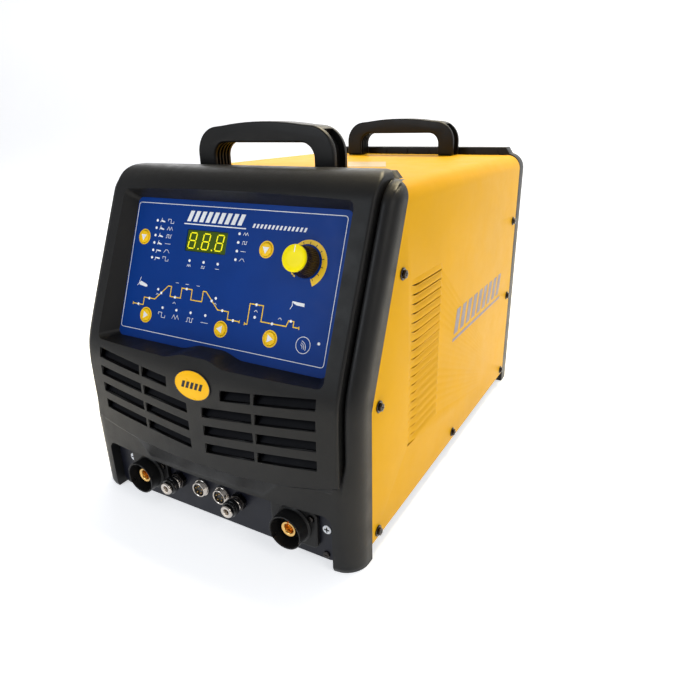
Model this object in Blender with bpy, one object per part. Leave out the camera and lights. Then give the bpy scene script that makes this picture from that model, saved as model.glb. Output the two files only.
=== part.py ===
"""TIG welding machine: two moulded bezels, a folded sheet cover, controls, connectors and power parts.

Metres, +Z up, front faces -Y, origin on the floor under the middle of the machine.
"""

import math

import bmesh
import bpy
from mathutils import Matrix, Vector

# ---- driving dimensions ----
COVER_FRONT = -0.21395         # Y of the cover's lower front edge
COVER_DEPTH = 0.4377
HALF_WIDTH = 0.165
COVER_BOTTOM = 0.0165
COVER_TOP = 0.3313
COVER_RADIUS = 0.018
SHEET = 0.0016
CUT_KNEE = 0.153               # height where the cover's front edge starts to lean back
CUT_SLOPE = 0.405              # run per rise of that edge
GAP = 0.0003                   # clearance between touching pieces

FACE_Y = -0.0384               # front face's middle, from COVER_FRONT
FACE_CROWN = 0.0060            # how far the face falls back at its side edges
FACE_KNEE = 0.167
FACE_SLOPE = 0.45
KNEE_BLEND = 0.014
WALL = 0.0035
HOOD_HALF = 0.149
HOOD_TOP = 0.341
RAIL_TOP = 0.3335
RAIL_RECESS = 0.006
LEG_INNER = 0.141
OPENING_TOP = 0.0585
TONGUE = 0.022                 # how far each bezel reaches inside the cover

FASCIA_LEAN = math.atan(0.41)
FASCIA_MID = (0.0, 0.0207, 0.2457)   # Y from COVER_FRONT
FASCIA_HALF = 0.1255
FASCIA_LOW = -0.073
FASCIA_HIGH = 0.0695
FASCIA_THICK = 0.0025
SIDE_FLARE = 0.485             # widening of the window on each side, per distance out of the fascia
TOP_FLARE = 0.31
WINDOW_RADIUS = 0.006
HUMP_HEIGHT = 0.0058
HUMP_FLAT = 0.012
HUMP_END = 0.038

SLOT_PITCH = 0.0188
SLOT_FIRST = 0.1525            # middle height of the top slot at SLOT_INNER
SLOT_HEIGHT = 0.0102
SLOT_INNER = 0.009
SLOT_OUTER = 0.1295
SLOT_RISE = 0.107
SLOT_BAR_X = 0.0675
SLOT_BAR = 0.003
BADGE_SLOT_INNER = 0.0325      # the top row starts further out, beside the badge

PANEL_Y = -0.021               # connector panel's front face, from COVER_FRONT
PANEL_THICK = 0.0020
CONNECTOR_Z = 0.033
DINSE_X = (-0.0885, 0.0965)
COUPLING_X = (-0.050, 0.0295)
SOCKET_X = (-0.0190, 0.0080)

LOUVRE_COUNT = 19
LOUVRE_TOP = 0.2425
LOUVRE_PITCH = 0.00895
LOUVRE_Y = (0.077, 0.153)
LOUVRE_HEIGHT = 0.0026

HANDLE_HALF = 0.0808
HANDLE_DEPTH = 0.026
HANDLE_HEIGHT = 0.0480
HANDLE_GAP = 0.0290
HANDLE_LEG = 0.0215
HANDLE_Y = (0.0914, 0.4046)    # front faces, from COVER_FRONT

REAR_DEPTH = 0.020
REAR_PANEL_Y = 0.4300
FAN_X, FAN_Z = 0.0, 0.190
FAN_HALF, FAN_THICK = 0.060, 0.038
GLAND_AT = (-0.105, 0.070)     # rear fittings as (X, height)
INLET_AT = (0.105, 0.070)
SWITCH_AT = (-0.105, 0.270)

# side screws as (distance behind COVER_FRONT, height)
SCREWS = {
    "front_upper": (0.0580, 0.2578),
    "front_middle": (0.0131, 0.1530),
    "front_lower": (0.0110, 0.0245),
    "bottom_middle": (0.2115, 0.0265),
    "rear_upper": (0.4230, 0.2469),
    "rear_middle": (0.4230, 0.1415),
    "rear_lower": (0.4230, 0.0250),
}

# controls on the fascia as (across, up the slope)
BUTTONS = {
    "mode_button": (-0.1098, 0.0295),
    "output_button": (0.0435, 0.0295),
    "pulse_button": (-0.0915, -0.0484),
    "parameter_button": (0.0062, -0.0484),
    "memory_button": (0.0627, -0.0484),
}
BUTTON_RADIUS = 0.0062
KNOB_AT = (0.0873, 0.0223)
DISPLAY_BOX = (-0.0534, -0.0027, 0.0201, 0.0413)

for thing in list(bpy.data.objects):
    bpy.data.objects.remove(thing, do_unlink=True)


# ---- materials ----
def material(name, colour, roughness, metallic=0.0):
    made = bpy.data.materials.new(name)
    made.use_nodes = True
    shader = made.node_tree.nodes["Principled BSDF"]
    shader.inputs["Base Color"].default_value = (*colour, 1.0)
    shader.inputs["Roughness"].default_value = roughness
    shader.inputs["Metallic"].default_value = metallic
    return made


YELLOW_PAINT = material("yellow_paint", (0.80, 0.40, 0.03), 0.35)
BLACK_PLASTIC = material("black_plastic", (0.035, 0.035, 0.037), 0.55)
BLACK_SHEET = material("black_sheet", (0.02, 0.02, 0.03), 0.40, 0.3)
BLUE_FILM = material("blue_film", (0.01, 0.04, 0.20), 0.30)
YELLOW_PLASTIC = material("yellow_plastic", (0.90, 0.60, 0.01), 0.35)
LENS = material("lens", (0.06, 0.08, 0.01), 0.15)
NICKEL = material("nickel", (0.75, 0.73, 0.70), 0.20, 1.0)
BRASS = material("brass", (0.78, 0.55, 0.22), 0.25, 1.0)
STEEL = material("steel", (0.45, 0.45, 0.46), 0.40, 1.0)
DARK_STEEL = material("dark_steel", (0.075, 0.070, 0.068), 0.35, 1.0)
ALUMINIUM = material("aluminium", (0.72, 0.72, 0.73), 0.40, 1.0)
CIRCUIT_BOARD = material("circuit_board", (0.02, 0.16, 0.06), 0.45)
COPPER = material("copper_winding", (0.60, 0.26, 0.10), 0.35, 0.8)
FERRITE = material("ferrite", (0.08, 0.08, 0.09), 0.60)


# ---- building helpers ----
def finish_mesh(name, shape, skin, angle=35.0):
    """Turns a bmesh into a named object with its faces pointing out."""
    bmesh.ops.recalc_face_normals(shape, faces=shape.faces)
    mesh = bpy.data.meshes.new(name)
    shape.to_mesh(mesh)
    shape.free()
    made = bpy.data.objects.new(name, mesh)
    bpy.context.scene.collection.objects.link(made)
    if skin is not None:
        mesh.materials.append(skin)
        mesh.shade_smooth()
        mesh.set_sharp_from_angle(angle=math.radians(angle))
    return made


def place(made, matrix):
    made.matrix_world = matrix
    return made


def helper(made):
    made.hide_render = True
    made.display_type = "WIRE"
    return made


def combine(target, other, operation="DIFFERENCE"):
    """Adds a Boolean of a helper object to the target."""
    step = target.modifiers.new(other.name, "BOOLEAN")
    step.operation = operation
    step.solver = "EXACT"
    step.object = helper(other)
    return target


def loft(name, sections, skin=None):
    """Closed skin over rings that all have the same number of points."""
    shape = bmesh.new()
    rings = [[shape.verts.new(point) for point in section] for section in sections]
    for low, high in zip(rings, rings[1:]):
        for index in range(len(low)):
            after = (index + 1) % len(low)
            shape.faces.new((low[index], low[after], high[after], high[index]))
    shape.faces.new(rings[0])
    shape.faces.new(rings[-1])
    return finish_mesh(name, shape, skin)


def prism(name, outline, low, high, skin=None, axis="Z"):
    """Extrudes a flat outline along an axis. Along Y it is read as (x, z), along X as (y, z)."""
    swap = {
        "Z": lambda p, h: (p[0], p[1], h),
        "Y": lambda p, h: (p[0], h, p[1]),
        "X": lambda p, h: (h, p[0], p[1]),
    }
    return loft(name, [[swap[axis](point, height) for point in outline] for height in (low, high)], skin)


def block(name, low, high, skin=None):
    outline = [(low[0], low[1]), (high[0], low[1]), (high[0], high[1]), (low[0], high[1])]
    return prism(name, outline, low[2], high[2], skin)


def blocks(name, boxes, skin=None):
    """Several separate boxes in one mesh, for a cutter."""
    shape = bmesh.new()
    for low, high in boxes:
        size = Vector(high) - Vector(low)
        middle = (Vector(high) + Vector(low)) / 2
        stretch = Matrix.Translation(middle) @ Matrix.Diagonal((*size, 1.0))
        bmesh.ops.create_cube(shape, size=1.0, matrix=stretch)
    return finish_mesh(name, shape, skin)


def turned(name, profile, skin=None, sides=24):
    """Turns an (r, z) profile about Z: a solid if it starts on the axis, or else a ring."""
    shape = bmesh.new()
    solid = profile[0][0] == 0.0
    rings = []
    for radius, height in profile:
        if radius == 0.0:
            rings.append([shape.verts.new((0.0, 0.0, height))])
            continue
        turns = [2 * math.pi * step / sides for step in range(sides)]
        points = [(radius * math.cos(t), radius * math.sin(t), height) for t in turns]
        rings.append([shape.verts.new(point) for point in points])
    pairs = list(zip(rings, rings[1:])) + ([] if solid else [(rings[-1], rings[0])])
    for low, high in pairs:
        for index in range(sides):
            after = (index + 1) % sides
            if len(low) == 1:
                shape.faces.new((low[0], high[after], high[index]))
            elif len(high) == 1:
                shape.faces.new((low[index], low[after], high[0]))
            else:
                shape.faces.new((low[index], low[after], high[after], high[index]))
    return finish_mesh(name, shape, skin)


def round_rect(half_x, half_y, radius, steps=4, middle=(0.0, 0.0)):
    """Outline of a rectangle with round corners, anticlockwise from its right side."""
    points = []
    for quarter, (side_x, side_y) in enumerate(((1, 1), (-1, 1), (-1, -1), (1, -1))):
        for step in range(steps + 1):
            turn = math.pi / 2 * (quarter + step / steps)
            points.append((
                middle[0] + side_x * (half_x - radius) + radius * math.cos(turn),
                middle[1] + side_y * (half_y - radius) + radius * math.sin(turn),
            ))
    return points


def facing_front(x, y, z):
    """Local +Z points out of the front, local +Y up."""
    return Matrix.Translation((x, COVER_FRONT + y, z)) @ Matrix.Rotation(math.pi / 2, 4, "X")


def facing_rear(x, y, z):
    return Matrix.Translation((x, COVER_FRONT + y, z)) @ Matrix.Rotation(-math.pi / 2, 4, "X")


def rear_seat(at):
    return facing_rear(at[0], REAR_PANEL_Y, at[1])


def on_fascia(across=0.0, up=0.0, out=0.0):
    """Frame on the control fascia: local +X across, +Y up its slope, +Z out of it."""
    middle = Matrix.Translation((FASCIA_MID[0], COVER_FRONT + FASCIA_MID[1], FASCIA_MID[2]))
    lean = Matrix.Rotation(math.pi / 2 - FASCIA_LEAN, 4, "X")
    return middle @ lean @ Matrix.Translation((across, up, out))


# ---- front bezel ----
def cut_edge(height):
    """Distance of the cover's front edge behind COVER_FRONT at a height."""
    return max(0.0, height - CUT_KNEE) * CUT_SLOPE


def face_y(across, height):
    """The front face: upright below its knee, leaning back above it, and crowned from side to side."""
    over = height - FACE_KNEE
    lean = FACE_SLOPE * 0.5 * (over + math.hypot(over, KNEE_BLEND))
    return FACE_Y + lean + FACE_CROWN * (across / 0.135) ** 2


def round_over(height, top, radius):
    """How far an edge with this radius has fallen back at a height below its top."""
    into = max(0.0, height - (top - radius))
    return radius - math.sqrt(max(0.0, radius ** 2 - into ** 2))


def plan_ring(half, front, rear, corner, height):
    """Plan outline at one height: straight rear, round front corners and a crowned front."""
    inner = half - corner
    deep = min(corner, (rear - front(inner)) * 0.8)
    centre_y = front(inner) + deep
    points = [(-half, rear)]
    for step in range(5):
        turn = math.pi * (1 + step / 8)
        points.append((-inner + corner * math.cos(turn), centre_y + deep * math.sin(turn)))
    for step in range(1, 8):
        across = inner * (step / 4 - 1)
        points.append((across, front(across)))
    for step in range(5):
        turn = math.pi * (1.5 + step / 8)
        points.append((inner + corner * math.cos(turn), centre_y + deep * math.sin(turn)))
    points.append((half, rear))
    return [(x, COVER_FRONT + y, height) for x, y in points]


def rail_recess(height):
    """The side rails sit behind the middle face above the feet and run into it below."""
    t = min(1.0, max(0.0, (height - 0.080) / 0.030))
    return RAIL_RECESS * t * t * (3 - 2 * t)


def rail_section(height, inset=0.0, rear=0.0):
    top = RAIL_TOP - inset
    half = HALF_WIDTH - round_over(height, top, 0.020) - inset
    back = rail_recess(height) + round_over(height, top, 0.018) + inset
    front = lambda x: face_y(x, height) + back
    return plan_ring(half, front, cut_edge(height) + rear, 0.020 - inset, height)


def hood_section(height, inset=0.0, rear=0.0):
    top = HOOD_TOP - inset
    half = HOOD_HALF - inset - max(0.0, height - RAIL_TOP) * 0.4
    back = round_over(height, top, 0.020) + inset
    front = lambda x: face_y(x, height) + back
    return plan_ring(half, front, cut_edge(height) + rear, 0.006, height)


def heights(low, high, *between):
    return [low, *[h for h in between if low < h < high], high]


FACE_HEIGHTS = (0.030, 0.080, 0.095, 0.110, 0.140, CUT_KNEE, 0.163, 0.171, 0.180, 0.200, 0.250, 0.300)


def window_outline(out):
    """Window outline at a distance out of the fascia. It flares sideways and up, and its sill runs level."""
    half = FASCIA_HALF + SIDE_FLARE * out
    high = FASCIA_HIGH + TOP_FLARE * out
    low = FASCIA_LOW - out * math.tan(FASCIA_LEAN)
    outline = round_rect(half, (high - low) / 2, WINDOW_RADIUS, 3, (0.0, (high + low) / 2))
    corner_end = 3 * 4
    hump = []
    for step in range(9):
        across = HUMP_END * (step / 4 - 1)
        t = min(1.0, max(0.0, (HUMP_END - abs(across)) / (HUMP_END - HUMP_FLAT)))
        hump.append((across, low + HUMP_HEIGHT * t * t * (3 - 2 * t)))
    return outline[:corner_end] + hump + outline[corner_end:]


def window_prism(name, low, high, grow=0.0):
    sections = []
    for out in (low, high):
        points = []
        for x, y in window_outline(out):
            side = 1 if x > 0 else -1
            up = 1 if y > 0 else -1
            points.append((x + side * grow, y + up * grow))
        sections.append([(x, y, out) for x, y in points])
    return place(loft(name, sections), on_fascia())


def slot_boxes():
    """Sheared boxes for the grille slots: four rows on each side, each split by an upright bar."""
    shape = bmesh.new()
    for side in (-1, 1):
        for row in range(4):
            inner = BADGE_SLOT_INNER if row == 0 else SLOT_INNER
            spans = ((inner, SLOT_BAR_X - SLOT_BAR / 2), (SLOT_BAR_X + SLOT_BAR / 2, SLOT_OUTER))
            for near, far in spans:
                corners = []
                for across in (near, far):
                    middle = SLOT_FIRST - row * SLOT_PITCH + (across - SLOT_INNER) * SLOT_RISE
                    for lift in (-SLOT_HEIGHT / 2, SLOT_HEIGHT / 2):
                        corners.append((side * across, middle + lift))
                quad = [corners[0], corners[2], corners[3], corners[1]]
                front = [shape.verts.new((x, COVER_FRONT - 0.060, z)) for x, z in quad]
                back = [shape.verts.new((x, COVER_FRONT - 0.012, z)) for x, z in quad]
                shape.faces.new(front)
                shape.faces.new(back)
                for index in range(4):
                    after = (index + 1) % 4
                    shape.faces.new((front[index], front[after], back[after], back[index]))
    return finish_mesh("cut_grille", shape, None)


def side_holes():
    """One bar through both sides at each screw, a clearance hole for its shank."""
    shape = bmesh.new()
    for distance, height in SCREWS.values():
        middle = Matrix.Translation((0.0, COVER_FRONT + distance, height))
        bmesh.ops.create_cone(
            shape, cap_ends=True, segments=8, radius1=0.0030, radius2=0.0030, depth=0.4,
            matrix=middle @ Matrix.Rotation(math.pi / 2, 4, "Y"),
        )
    return finish_mesh("cut_side_holes", shape, None)


def tongue_section(height, inset, reach):
    """U-shaped lip that reaches inside the cover behind the bezel."""
    half = HALF_WIDTH - SHEET - GAP * 2 - inset
    top = COVER_TOP - SHEET - GAP * 2 - inset
    half -= round_over(height, top, COVER_RADIUS - SHEET - inset)
    near, far = reach
    return [
        (-half, COVER_FRONT + near, height),
        (half, COVER_FRONT + near, height),
        (half, COVER_FRONT + far, height),
        (-half, COVER_FRONT + far, height),
    ]


def front_tongue():
    top = COVER_TOP - SHEET - GAP * 2
    levels = heights(COVER_BOTTOM + 0.0015, top, CUT_KNEE, 0.3137, 0.320, 0.3245, 0.3275, 0.3290)
    outer = [tongue_section(h, 0.0, (cut_edge(h) - 0.003, cut_edge(h) + TONGUE)) for h in levels]
    inner_top = top - 0.003
    levels = heights(0.010, inner_top, CUT_KNEE, 0.3137, 0.320, 0.3245)
    inner = [tongue_section(h, 0.003, (cut_edge(h) - 0.010, cut_edge(h) + TONGUE + 0.010)) for h in levels]
    lip = loft("front_tongue", outer)
    return combine(lip, loft("cut_front_tongue", inner))


def build_front_bezel(holes):
    rail_levels = heights(0.0, RAIL_TOP, *FACE_HEIGHTS, 0.3135, 0.320, 0.326, 0.330, 0.3325)
    bezel = loft("front_bezel", [rail_section(h) for h in rail_levels], BLACK_PLASTIC)
    hood_levels = heights(0.060, HOOD_TOP, *FACE_HEIGHTS, 0.321, 0.328, 0.3335, 0.338, 0.3402)
    hood = loft("join_hood", [hood_section(h) for h in hood_levels])
    combine(bezel, hood, "UNION")
    low = OPENING_TOP + WALL
    cavity_levels = heights(low, RAIL_TOP - WALL, *FACE_HEIGHTS, 0.3135, 0.320, 0.326)
    combine(bezel, loft("cut_rail_cavity", [rail_section(h, WALL, 0.02) for h in cavity_levels]))
    cavity_levels = heights(low, HOOD_TOP - WALL, *FACE_HEIGHTS, 0.318, 0.325, 0.331, 0.335)
    combine(bezel, loft("cut_hood_cavity", [hood_section(h, WALL, 0.02) for h in cavity_levels]))
    legs = []
    for side in (-1, 1):
        near, far = sorted((side * (LEG_INNER + 0.003), side * (HALF_WIDTH - 0.0045)))
        legs.append(((near, COVER_FRONT - 0.018, 0.004), (far, COVER_FRONT + 0.010, low + 0.002)))
    combine(bezel, blocks("cut_leg_cavities", legs))
    well = window_prism("join_well", GAP, 0.045, 0.003)
    combine(well, hood, "INTERSECT")
    combine(bezel, well, "UNION")
    combine(bezel, window_prism("cut_window", -0.002, 0.050))
    combine(bezel, slot_boxes())
    arch = round_rect(LEG_INNER, OPENING_TOP, 0.009, 3)
    combine(bezel, prism("cut_leg_opening", arch, COVER_FRONT - 0.1, COVER_FRONT + 0.1, axis="Y"))
    combine(bezel, front_tongue(), "UNION")
    combine(bezel, holes)


# ---- cover and chassis sheets ----
def cover_outline(half, low, top, radius, steps=6):
    """One side of the folded sheet's section, from the lower left round the top to the lower right."""
    points = [(-half, low)]
    for step in range(steps + 1):
        turn = math.pi - math.pi / 2 * step / steps
        points.append((-half + radius + radius * math.cos(turn), top - radius + radius * math.sin(turn)))
    for step in range(steps + 1):
        turn = math.pi / 2 - math.pi / 2 * step / steps
        points.append((half - radius + radius * math.cos(turn), top - radius + radius * math.sin(turn)))
    points.append((half, low))
    return points


def build_cover(holes):
    outer = cover_outline(HALF_WIDTH, COVER_BOTTOM, COVER_TOP, COVER_RADIUS)
    inner = cover_outline(HALF_WIDTH - SHEET, COVER_BOTTOM, COVER_TOP - SHEET, COVER_RADIUS - SHEET)
    section = outer + inner[::-1]
    cover = prism("outer_cover", section, COVER_FRONT + GAP, COVER_FRONT + COVER_DEPTH, YELLOW_PAINT, "Y")
    wedge = [
        (COVER_FRONT - 0.05, CUT_KNEE),
        (COVER_FRONT + GAP, CUT_KNEE),
        (COVER_FRONT + GAP + cut_edge(0.36), 0.36),
        (COVER_FRONT - 0.05, 0.36),
    ]
    combine(cover, prism("cut_lean", wedge, -0.2, 0.2, axis="X"))
    slits = []
    for number in range(LOUVRE_COUNT):
        height = LOUVRE_TOP - number * LOUVRE_PITCH
        for side in (-1, 1):
            near, far = sorted((side * (HALF_WIDTH - 0.006), side * (HALF_WIDTH + 0.006)))
            slits.append((
                (near, COVER_FRONT + LOUVRE_Y[0], height - LOUVRE_HEIGHT),
                (far, COVER_FRONT + LOUVRE_Y[1], height),
            ))
    combine(cover, blocks("cut_louvres", slits))
    combine(cover, holes)


def build_base_pan(holes):
    """Bottom tray with side flanges that the cover's lower screws go through."""
    half = HALF_WIDTH - SHEET - GAP * 2
    low, thick = 0.0130, SHEET
    front, rear = COVER_FRONT + 0.0245, COVER_FRONT + 0.4140
    top, inner, floor = 0.045, half - SHEET, low + thick
    tray = [
        (-half, top), (-half, low), (half, low), (half, top),
        (inner, top), (inner, floor), (-inner, floor), (-inner, top),
    ]
    pan = prism("base_pan", tray, front, rear, BLACK_SHEET, "Y")
    apron_front = COVER_FRONT + PANEL_Y + PANEL_THICK + GAP
    apron = block("join_apron", (-0.138, apron_front, low), (0.138, front + 0.01, floor))
    combine(pan, apron, "UNION")
    combine(pan, holes)


def build_connector_panel():
    low, high = 0.0015, OPENING_TOP - GAP * 2
    middle = (low + high) / 2
    outline = round_rect(LEG_INNER - GAP * 2, (high - low) / 2, 0.0085, 3, (0.0, middle))
    front = COVER_FRONT + PANEL_Y
    panel = prism("connector_panel", outline, front, front + PANEL_THICK, BLACK_SHEET, "Y")
    shape = bmesh.new()
    for xs, radius in ((DINSE_X, 0.0100), (COUPLING_X, 0.0053), (SOCKET_X, 0.0081)):
        for x in xs:
            bmesh.ops.create_cone(
                shape, cap_ends=True, segments=16, radius1=radius, radius2=radius, depth=0.02,
                matrix=facing_front(x, PANEL_Y, CONNECTOR_Z),
            )
    combine(panel, finish_mesh("cut_panel_holes", shape, None))


def build_rear():
    """Rear panel, and the frame-like rear bezel with its lip inside the cover."""
    y = COVER_FRONT + REAR_PANEL_Y
    half = HALF_WIDTH - SHEET - GAP * 2 - 0.003 - GAP * 2
    outline = cover_outline(half, 0.0155, 0.3250, 0.012, 3)
    panel = prism("rear_panel", outline, y, y + SHEET, BLACK_SHEET, "Y")
    shape = bmesh.new()
    openings = (
        ((FAN_X, FAN_Z), 0.0555, 24), (GLAND_AT, 0.0110, 12), (INLET_AT, 0.0060, 12), (SWITCH_AT, 0.0070, 12),
    )
    for at, radius, sides in openings:
        bmesh.ops.create_cone(
            shape, cap_ends=True, segments=sides, radius1=radius, radius2=radius, depth=0.02,
            matrix=rear_seat(at),
        )
    combine(panel, finish_mesh("cut_rear_holes", shape, None))

    rail = cover_outline(HALF_WIDTH, 0.0, RAIL_TOP, 0.020)
    near, far = COVER_FRONT + COVER_DEPTH + GAP, COVER_FRONT + COVER_DEPTH + REAR_DEPTH
    bezel = prism("rear_bezel", rail, near, far, BLACK_PLASTIC, "Y")
    hood = [
        (-HOOD_HALF, 0.250), (-HOOD_HALF, RAIL_TOP), (-HOOD_HALF + 0.005, HOOD_TOP),
        (HOOD_HALF - 0.005, HOOD_TOP), (HOOD_HALF, RAIL_TOP), (HOOD_HALF, 0.250),
    ]
    combine(bezel, prism("join_rear_hood", hood, near, far, axis="Y"), "UNION")
    tall = (0.0300 + 0.3150) / 2
    inside = round_rect(0.1480, (0.3150 - 0.0300) / 2, 0.012, 3, (0.0, tall))
    combine(bezel, prism("cut_rear_frame", inside, near - 0.03, far + 0.03, axis="Y"))
    arch = round_rect(LEG_INNER, 0.0140, 0.006, 3)
    combine(bezel, prism("cut_rear_legs", arch, near - 0.03, far + 0.03, axis="Y"))
    top = COVER_TOP - SHEET - GAP * 2
    start, end = COVER_DEPTH - TONGUE, COVER_DEPTH + 0.002
    levels = heights(COVER_BOTTOM + 0.0015, top, 0.3137, 0.320, 0.3245, 0.3275, 0.3290)
    lip = loft("rear_tongue", [tongue_section(h, 0.0, (start, end)) for h in levels])
    levels = heights(0.010, top - 0.003, 0.3137, 0.320, 0.3245)
    inner = loft("cut_rear_tongue", [tongue_section(h, 0.003, (start - 0.01, end + 0.01)) for h in levels])
    combine(lip, inner)
    return panel, bezel, lip


# ---- handles ----
def handle_outline():
    """Front view of a carrying handle: an arch with a crowned top and round shoulders."""
    outer, steps = [], 6
    shoulder = 0.026
    for side in (-1, 1):
        arc = []
        for step in range(steps + 1):
            turn = math.pi / 2 * step / steps
            arc.append((
                side * (HANDLE_HALF - shoulder + shoulder * math.cos(turn)),
                HANDLE_HEIGHT - 0.004 - shoulder + shoulder * math.sin(turn),
            ))
        outer.append(arc)
    left = [(-HANDLE_HALF, 0.0)] + outer[0]
    crown = [(x, HANDLE_HEIGHT - 0.004 * (x / 0.055) ** 2) for x in (-0.036, -0.018, 0.0, 0.018, 0.036)]
    right = outer[1][::-1] + [(HANDLE_HALF, 0.0)]
    reach, corner = HANDLE_HALF - HANDLE_LEG, 0.014
    inside = [(reach, 0.0)]
    for side in (1, -1):
        arc = []
        for step in range(steps + 1):
            turn = math.pi / 2 * step / steps
            arc.append((
                side * (reach - corner + corner * math.cos(turn)),
                HANDLE_GAP - corner + corner * math.sin(turn),
            ))
        inside += arc if side == 1 else arc[::-1]
    inside.append((-reach, 0.0))
    return left + crown + right + inside


def build_handle(name, distance):
    near = COVER_FRONT + distance
    base = COVER_TOP + GAP
    outline = [(x, base + z) for x, z in handle_outline()]
    grip = prism(name, outline, near, near + HANDLE_DEPTH, BLACK_PLASTIC, "Y")
    edge = grip.modifiers.new("edge", "BEVEL")
    edge.width = 0.0020
    edge.segments = 2
    edge.limit_method = "ANGLE"
    edge.angle_limit = math.radians(60)


# ---- controls ----
def build_controls():
    outline = [(x * 1.028, y * 1.05) for x, y in window_outline(0.0)]
    fascia = place(prism("control_fascia", outline, -FASCIA_THICK, 0.0, BLUE_FILM), on_fascia())
    shape = bmesh.new()
    cuts = [(at, BUTTON_RADIUS + 0.0004) for at in BUTTONS.values()] + [(KNOB_AT, 0.0045)]
    for at, radius in cuts:
        bmesh.ops.create_cone(
            shape, cap_ends=True, segments=16, radius1=radius, radius2=radius, depth=0.02,
            matrix=on_fascia(*at),
        )
    combine(fascia, finish_mesh("cut_fascia_holes", shape, None))
    left, right, low, high = DISPLAY_BOX
    combine(fascia, place(block("cut_display", (left, low, -0.01), (right, high, 0.01)), on_fascia()))
    edge = 0.0004
    lens_low, lens_high = (left + edge, low + edge, -0.0022), (right - edge, high - edge, -0.0002)
    place(block("display_lens", lens_low, lens_high, LENS), on_fascia())
    edge = 0.001
    unit_low, unit_high = (left + edge, low + edge, -0.0125), (right - edge, high - edge, -0.0030)
    place(block("led_display", unit_low, unit_high, FERRITE), on_fascia())

    for name, at in BUTTONS.items():
        profile = [
            (0.0, -0.0090), (0.0030, -0.0090), (0.0030, -0.0036), (BUTTON_RADIUS, -0.0032),
            (BUTTON_RADIUS, 0.0006), (BUTTON_RADIUS - 0.0006, 0.0012), (0.0, 0.0014),
        ]
        place(turned(name, profile, YELLOW_PLASTIC, 16), on_fascia(*at))

    body = [
        (0.0, -0.0080), (0.0030, -0.0080), (0.0030, 0.0006), (0.0136, 0.0006), (0.0140, 0.0014),
        (0.0134, 0.0030), (0.0122, 0.0160), (0.0112, 0.0168), (0.0, 0.0168),
    ]
    knob = place(turned("knob_body", body, BLACK_PLASTIC, 24), on_fascia(*KNOB_AT))
    cap = [
        (0.0, 0.0171), (0.0116, 0.0171), (0.0118, 0.0176),
        (0.0118, 0.0196), (0.0112, 0.0202), (0.0, 0.0204),
    ]
    lid = turned("knob_cap", cap, YELLOW_PLASTIC, 24)
    lid.parent = knob
    encoder = round_rect(0.0070, 0.0065, 0.001, 1)
    place(prism("current_encoder", encoder, -0.0136, -0.0084, STEEL), on_fascia(*KNOB_AT))
    board = round_rect(0.1120, 0.0600, 0.003, 2)
    place(prism("control_board", board, -0.0156, -0.0140, CIRCUIT_BOARD), on_fascia())

    badge_z = 0.1585
    turns = [t * math.pi / 12 for t in range(24)]
    oval = [(0.0215 * math.cos(t), 0.0146 * math.sin(t)) for t in turns]
    plate = prism("oval_badge", oval, 0.0, 0.0010, YELLOW_PLASTIC)
    over = badge_z - FACE_KNEE
    lean = math.atan(FACE_SLOPE * 0.5 * (1 + over / math.hypot(over, KNEE_BLEND)))
    # the plate is flat, so it stands a little clear of the rounded knee behind it
    seat = Matrix.Translation((0.0012, COVER_FRONT + face_y(0.0, badge_z) - 0.0011, badge_z))
    place(plate, seat @ Matrix.Rotation(math.pi / 2 - lean, 4, "X"))


# ---- front connectors ----
def build_connectors():
    for label, x in zip(("minus", "plus"), DINSE_X):
        at = facing_front(x, PANEL_Y - GAP, CONNECTOR_Z)
        outline = round_rect(0.0260, 0.0200, 0.006, 3)
        flange = place(prism("dinse_body_" + label, outline, 0.0, 0.0045, BLACK_PLASTIC), at)
        wall = [(0.0150, 0.002), (0.0175, 0.002), (0.0175, 0.0200), (0.0158, 0.0200)]
        combine(flange, place(turned("join_cup_" + label, wall), at), "UNION")
        bore = [(0.0, -0.01), (0.0087, -0.01), (0.0087, 0.03), (0.0, 0.03)]
        combine(flange, place(turned("cut_cup_" + label, bore, sides=20), at))
        contact = [
            (0.0, -0.0220), (0.0050, -0.0220), (0.0050, -0.0062), (0.0083, -0.0060), (0.0083, 0.0128),
            (0.0078, 0.0135), (0.0066, 0.0135), (0.0046, 0.0128), (0.0046, 0.0058), (0.0, 0.0058),
        ]
        place(turned("dinse_contact_" + label, contact, BRASS, 20), at)

    for label, x in zip(("left", "right"), COUPLING_X):
        at = facing_front(x, PANEL_Y - GAP, CONNECTOR_Z)
        stem = [
            (0.0, -0.0180), (0.0050, -0.0180), (0.0050, 0.0002), (0.0056, 0.0002), (0.0056, 0.0188),
            (0.0066, 0.0190), (0.0066, 0.0210), (0.0058, 0.0218), (0.0030, 0.0218),
            (0.0030, 0.0140), (0.0, 0.0140),
        ]
        body = place(turned("coupling_body_" + label, stem, NICKEL, 20), at)
        turns = [k * math.pi / 3 for k in range(6)]
        hexagon = [(0.0092 * math.cos(t), 0.0092 * math.sin(t)) for t in turns]
        combine(body, place(prism("join_nut_" + label, hexagon, 0.0, 0.0058), at), "UNION")
        sleeve = [
            (0.0061, 0.0102), (0.0080, 0.0102), (0.0084, 0.0110),
            (0.0084, 0.0172), (0.0078, 0.0180), (0.0061, 0.0180),
        ]
        place(turned("coupling_sleeve_" + label, sleeve, BLACK_PLASTIC, 24), at)

    for label, x in zip(("left", "right"), SOCKET_X):
        at = facing_front(x, PANEL_Y - GAP, CONNECTOR_Z)
        shell = [
            (0.0, -0.0150), (0.0076, -0.0150), (0.0076, 0.0), (0.0091, 0.0), (0.0091, 0.0028),
            (0.0080, 0.0034), (0.0080, 0.0070), (0.0066, 0.0070), (0.0066, 0.0020), (0.0, 0.0020),
        ]
        place(turned("control_socket_" + label, shell, NICKEL, 20), at)


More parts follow.
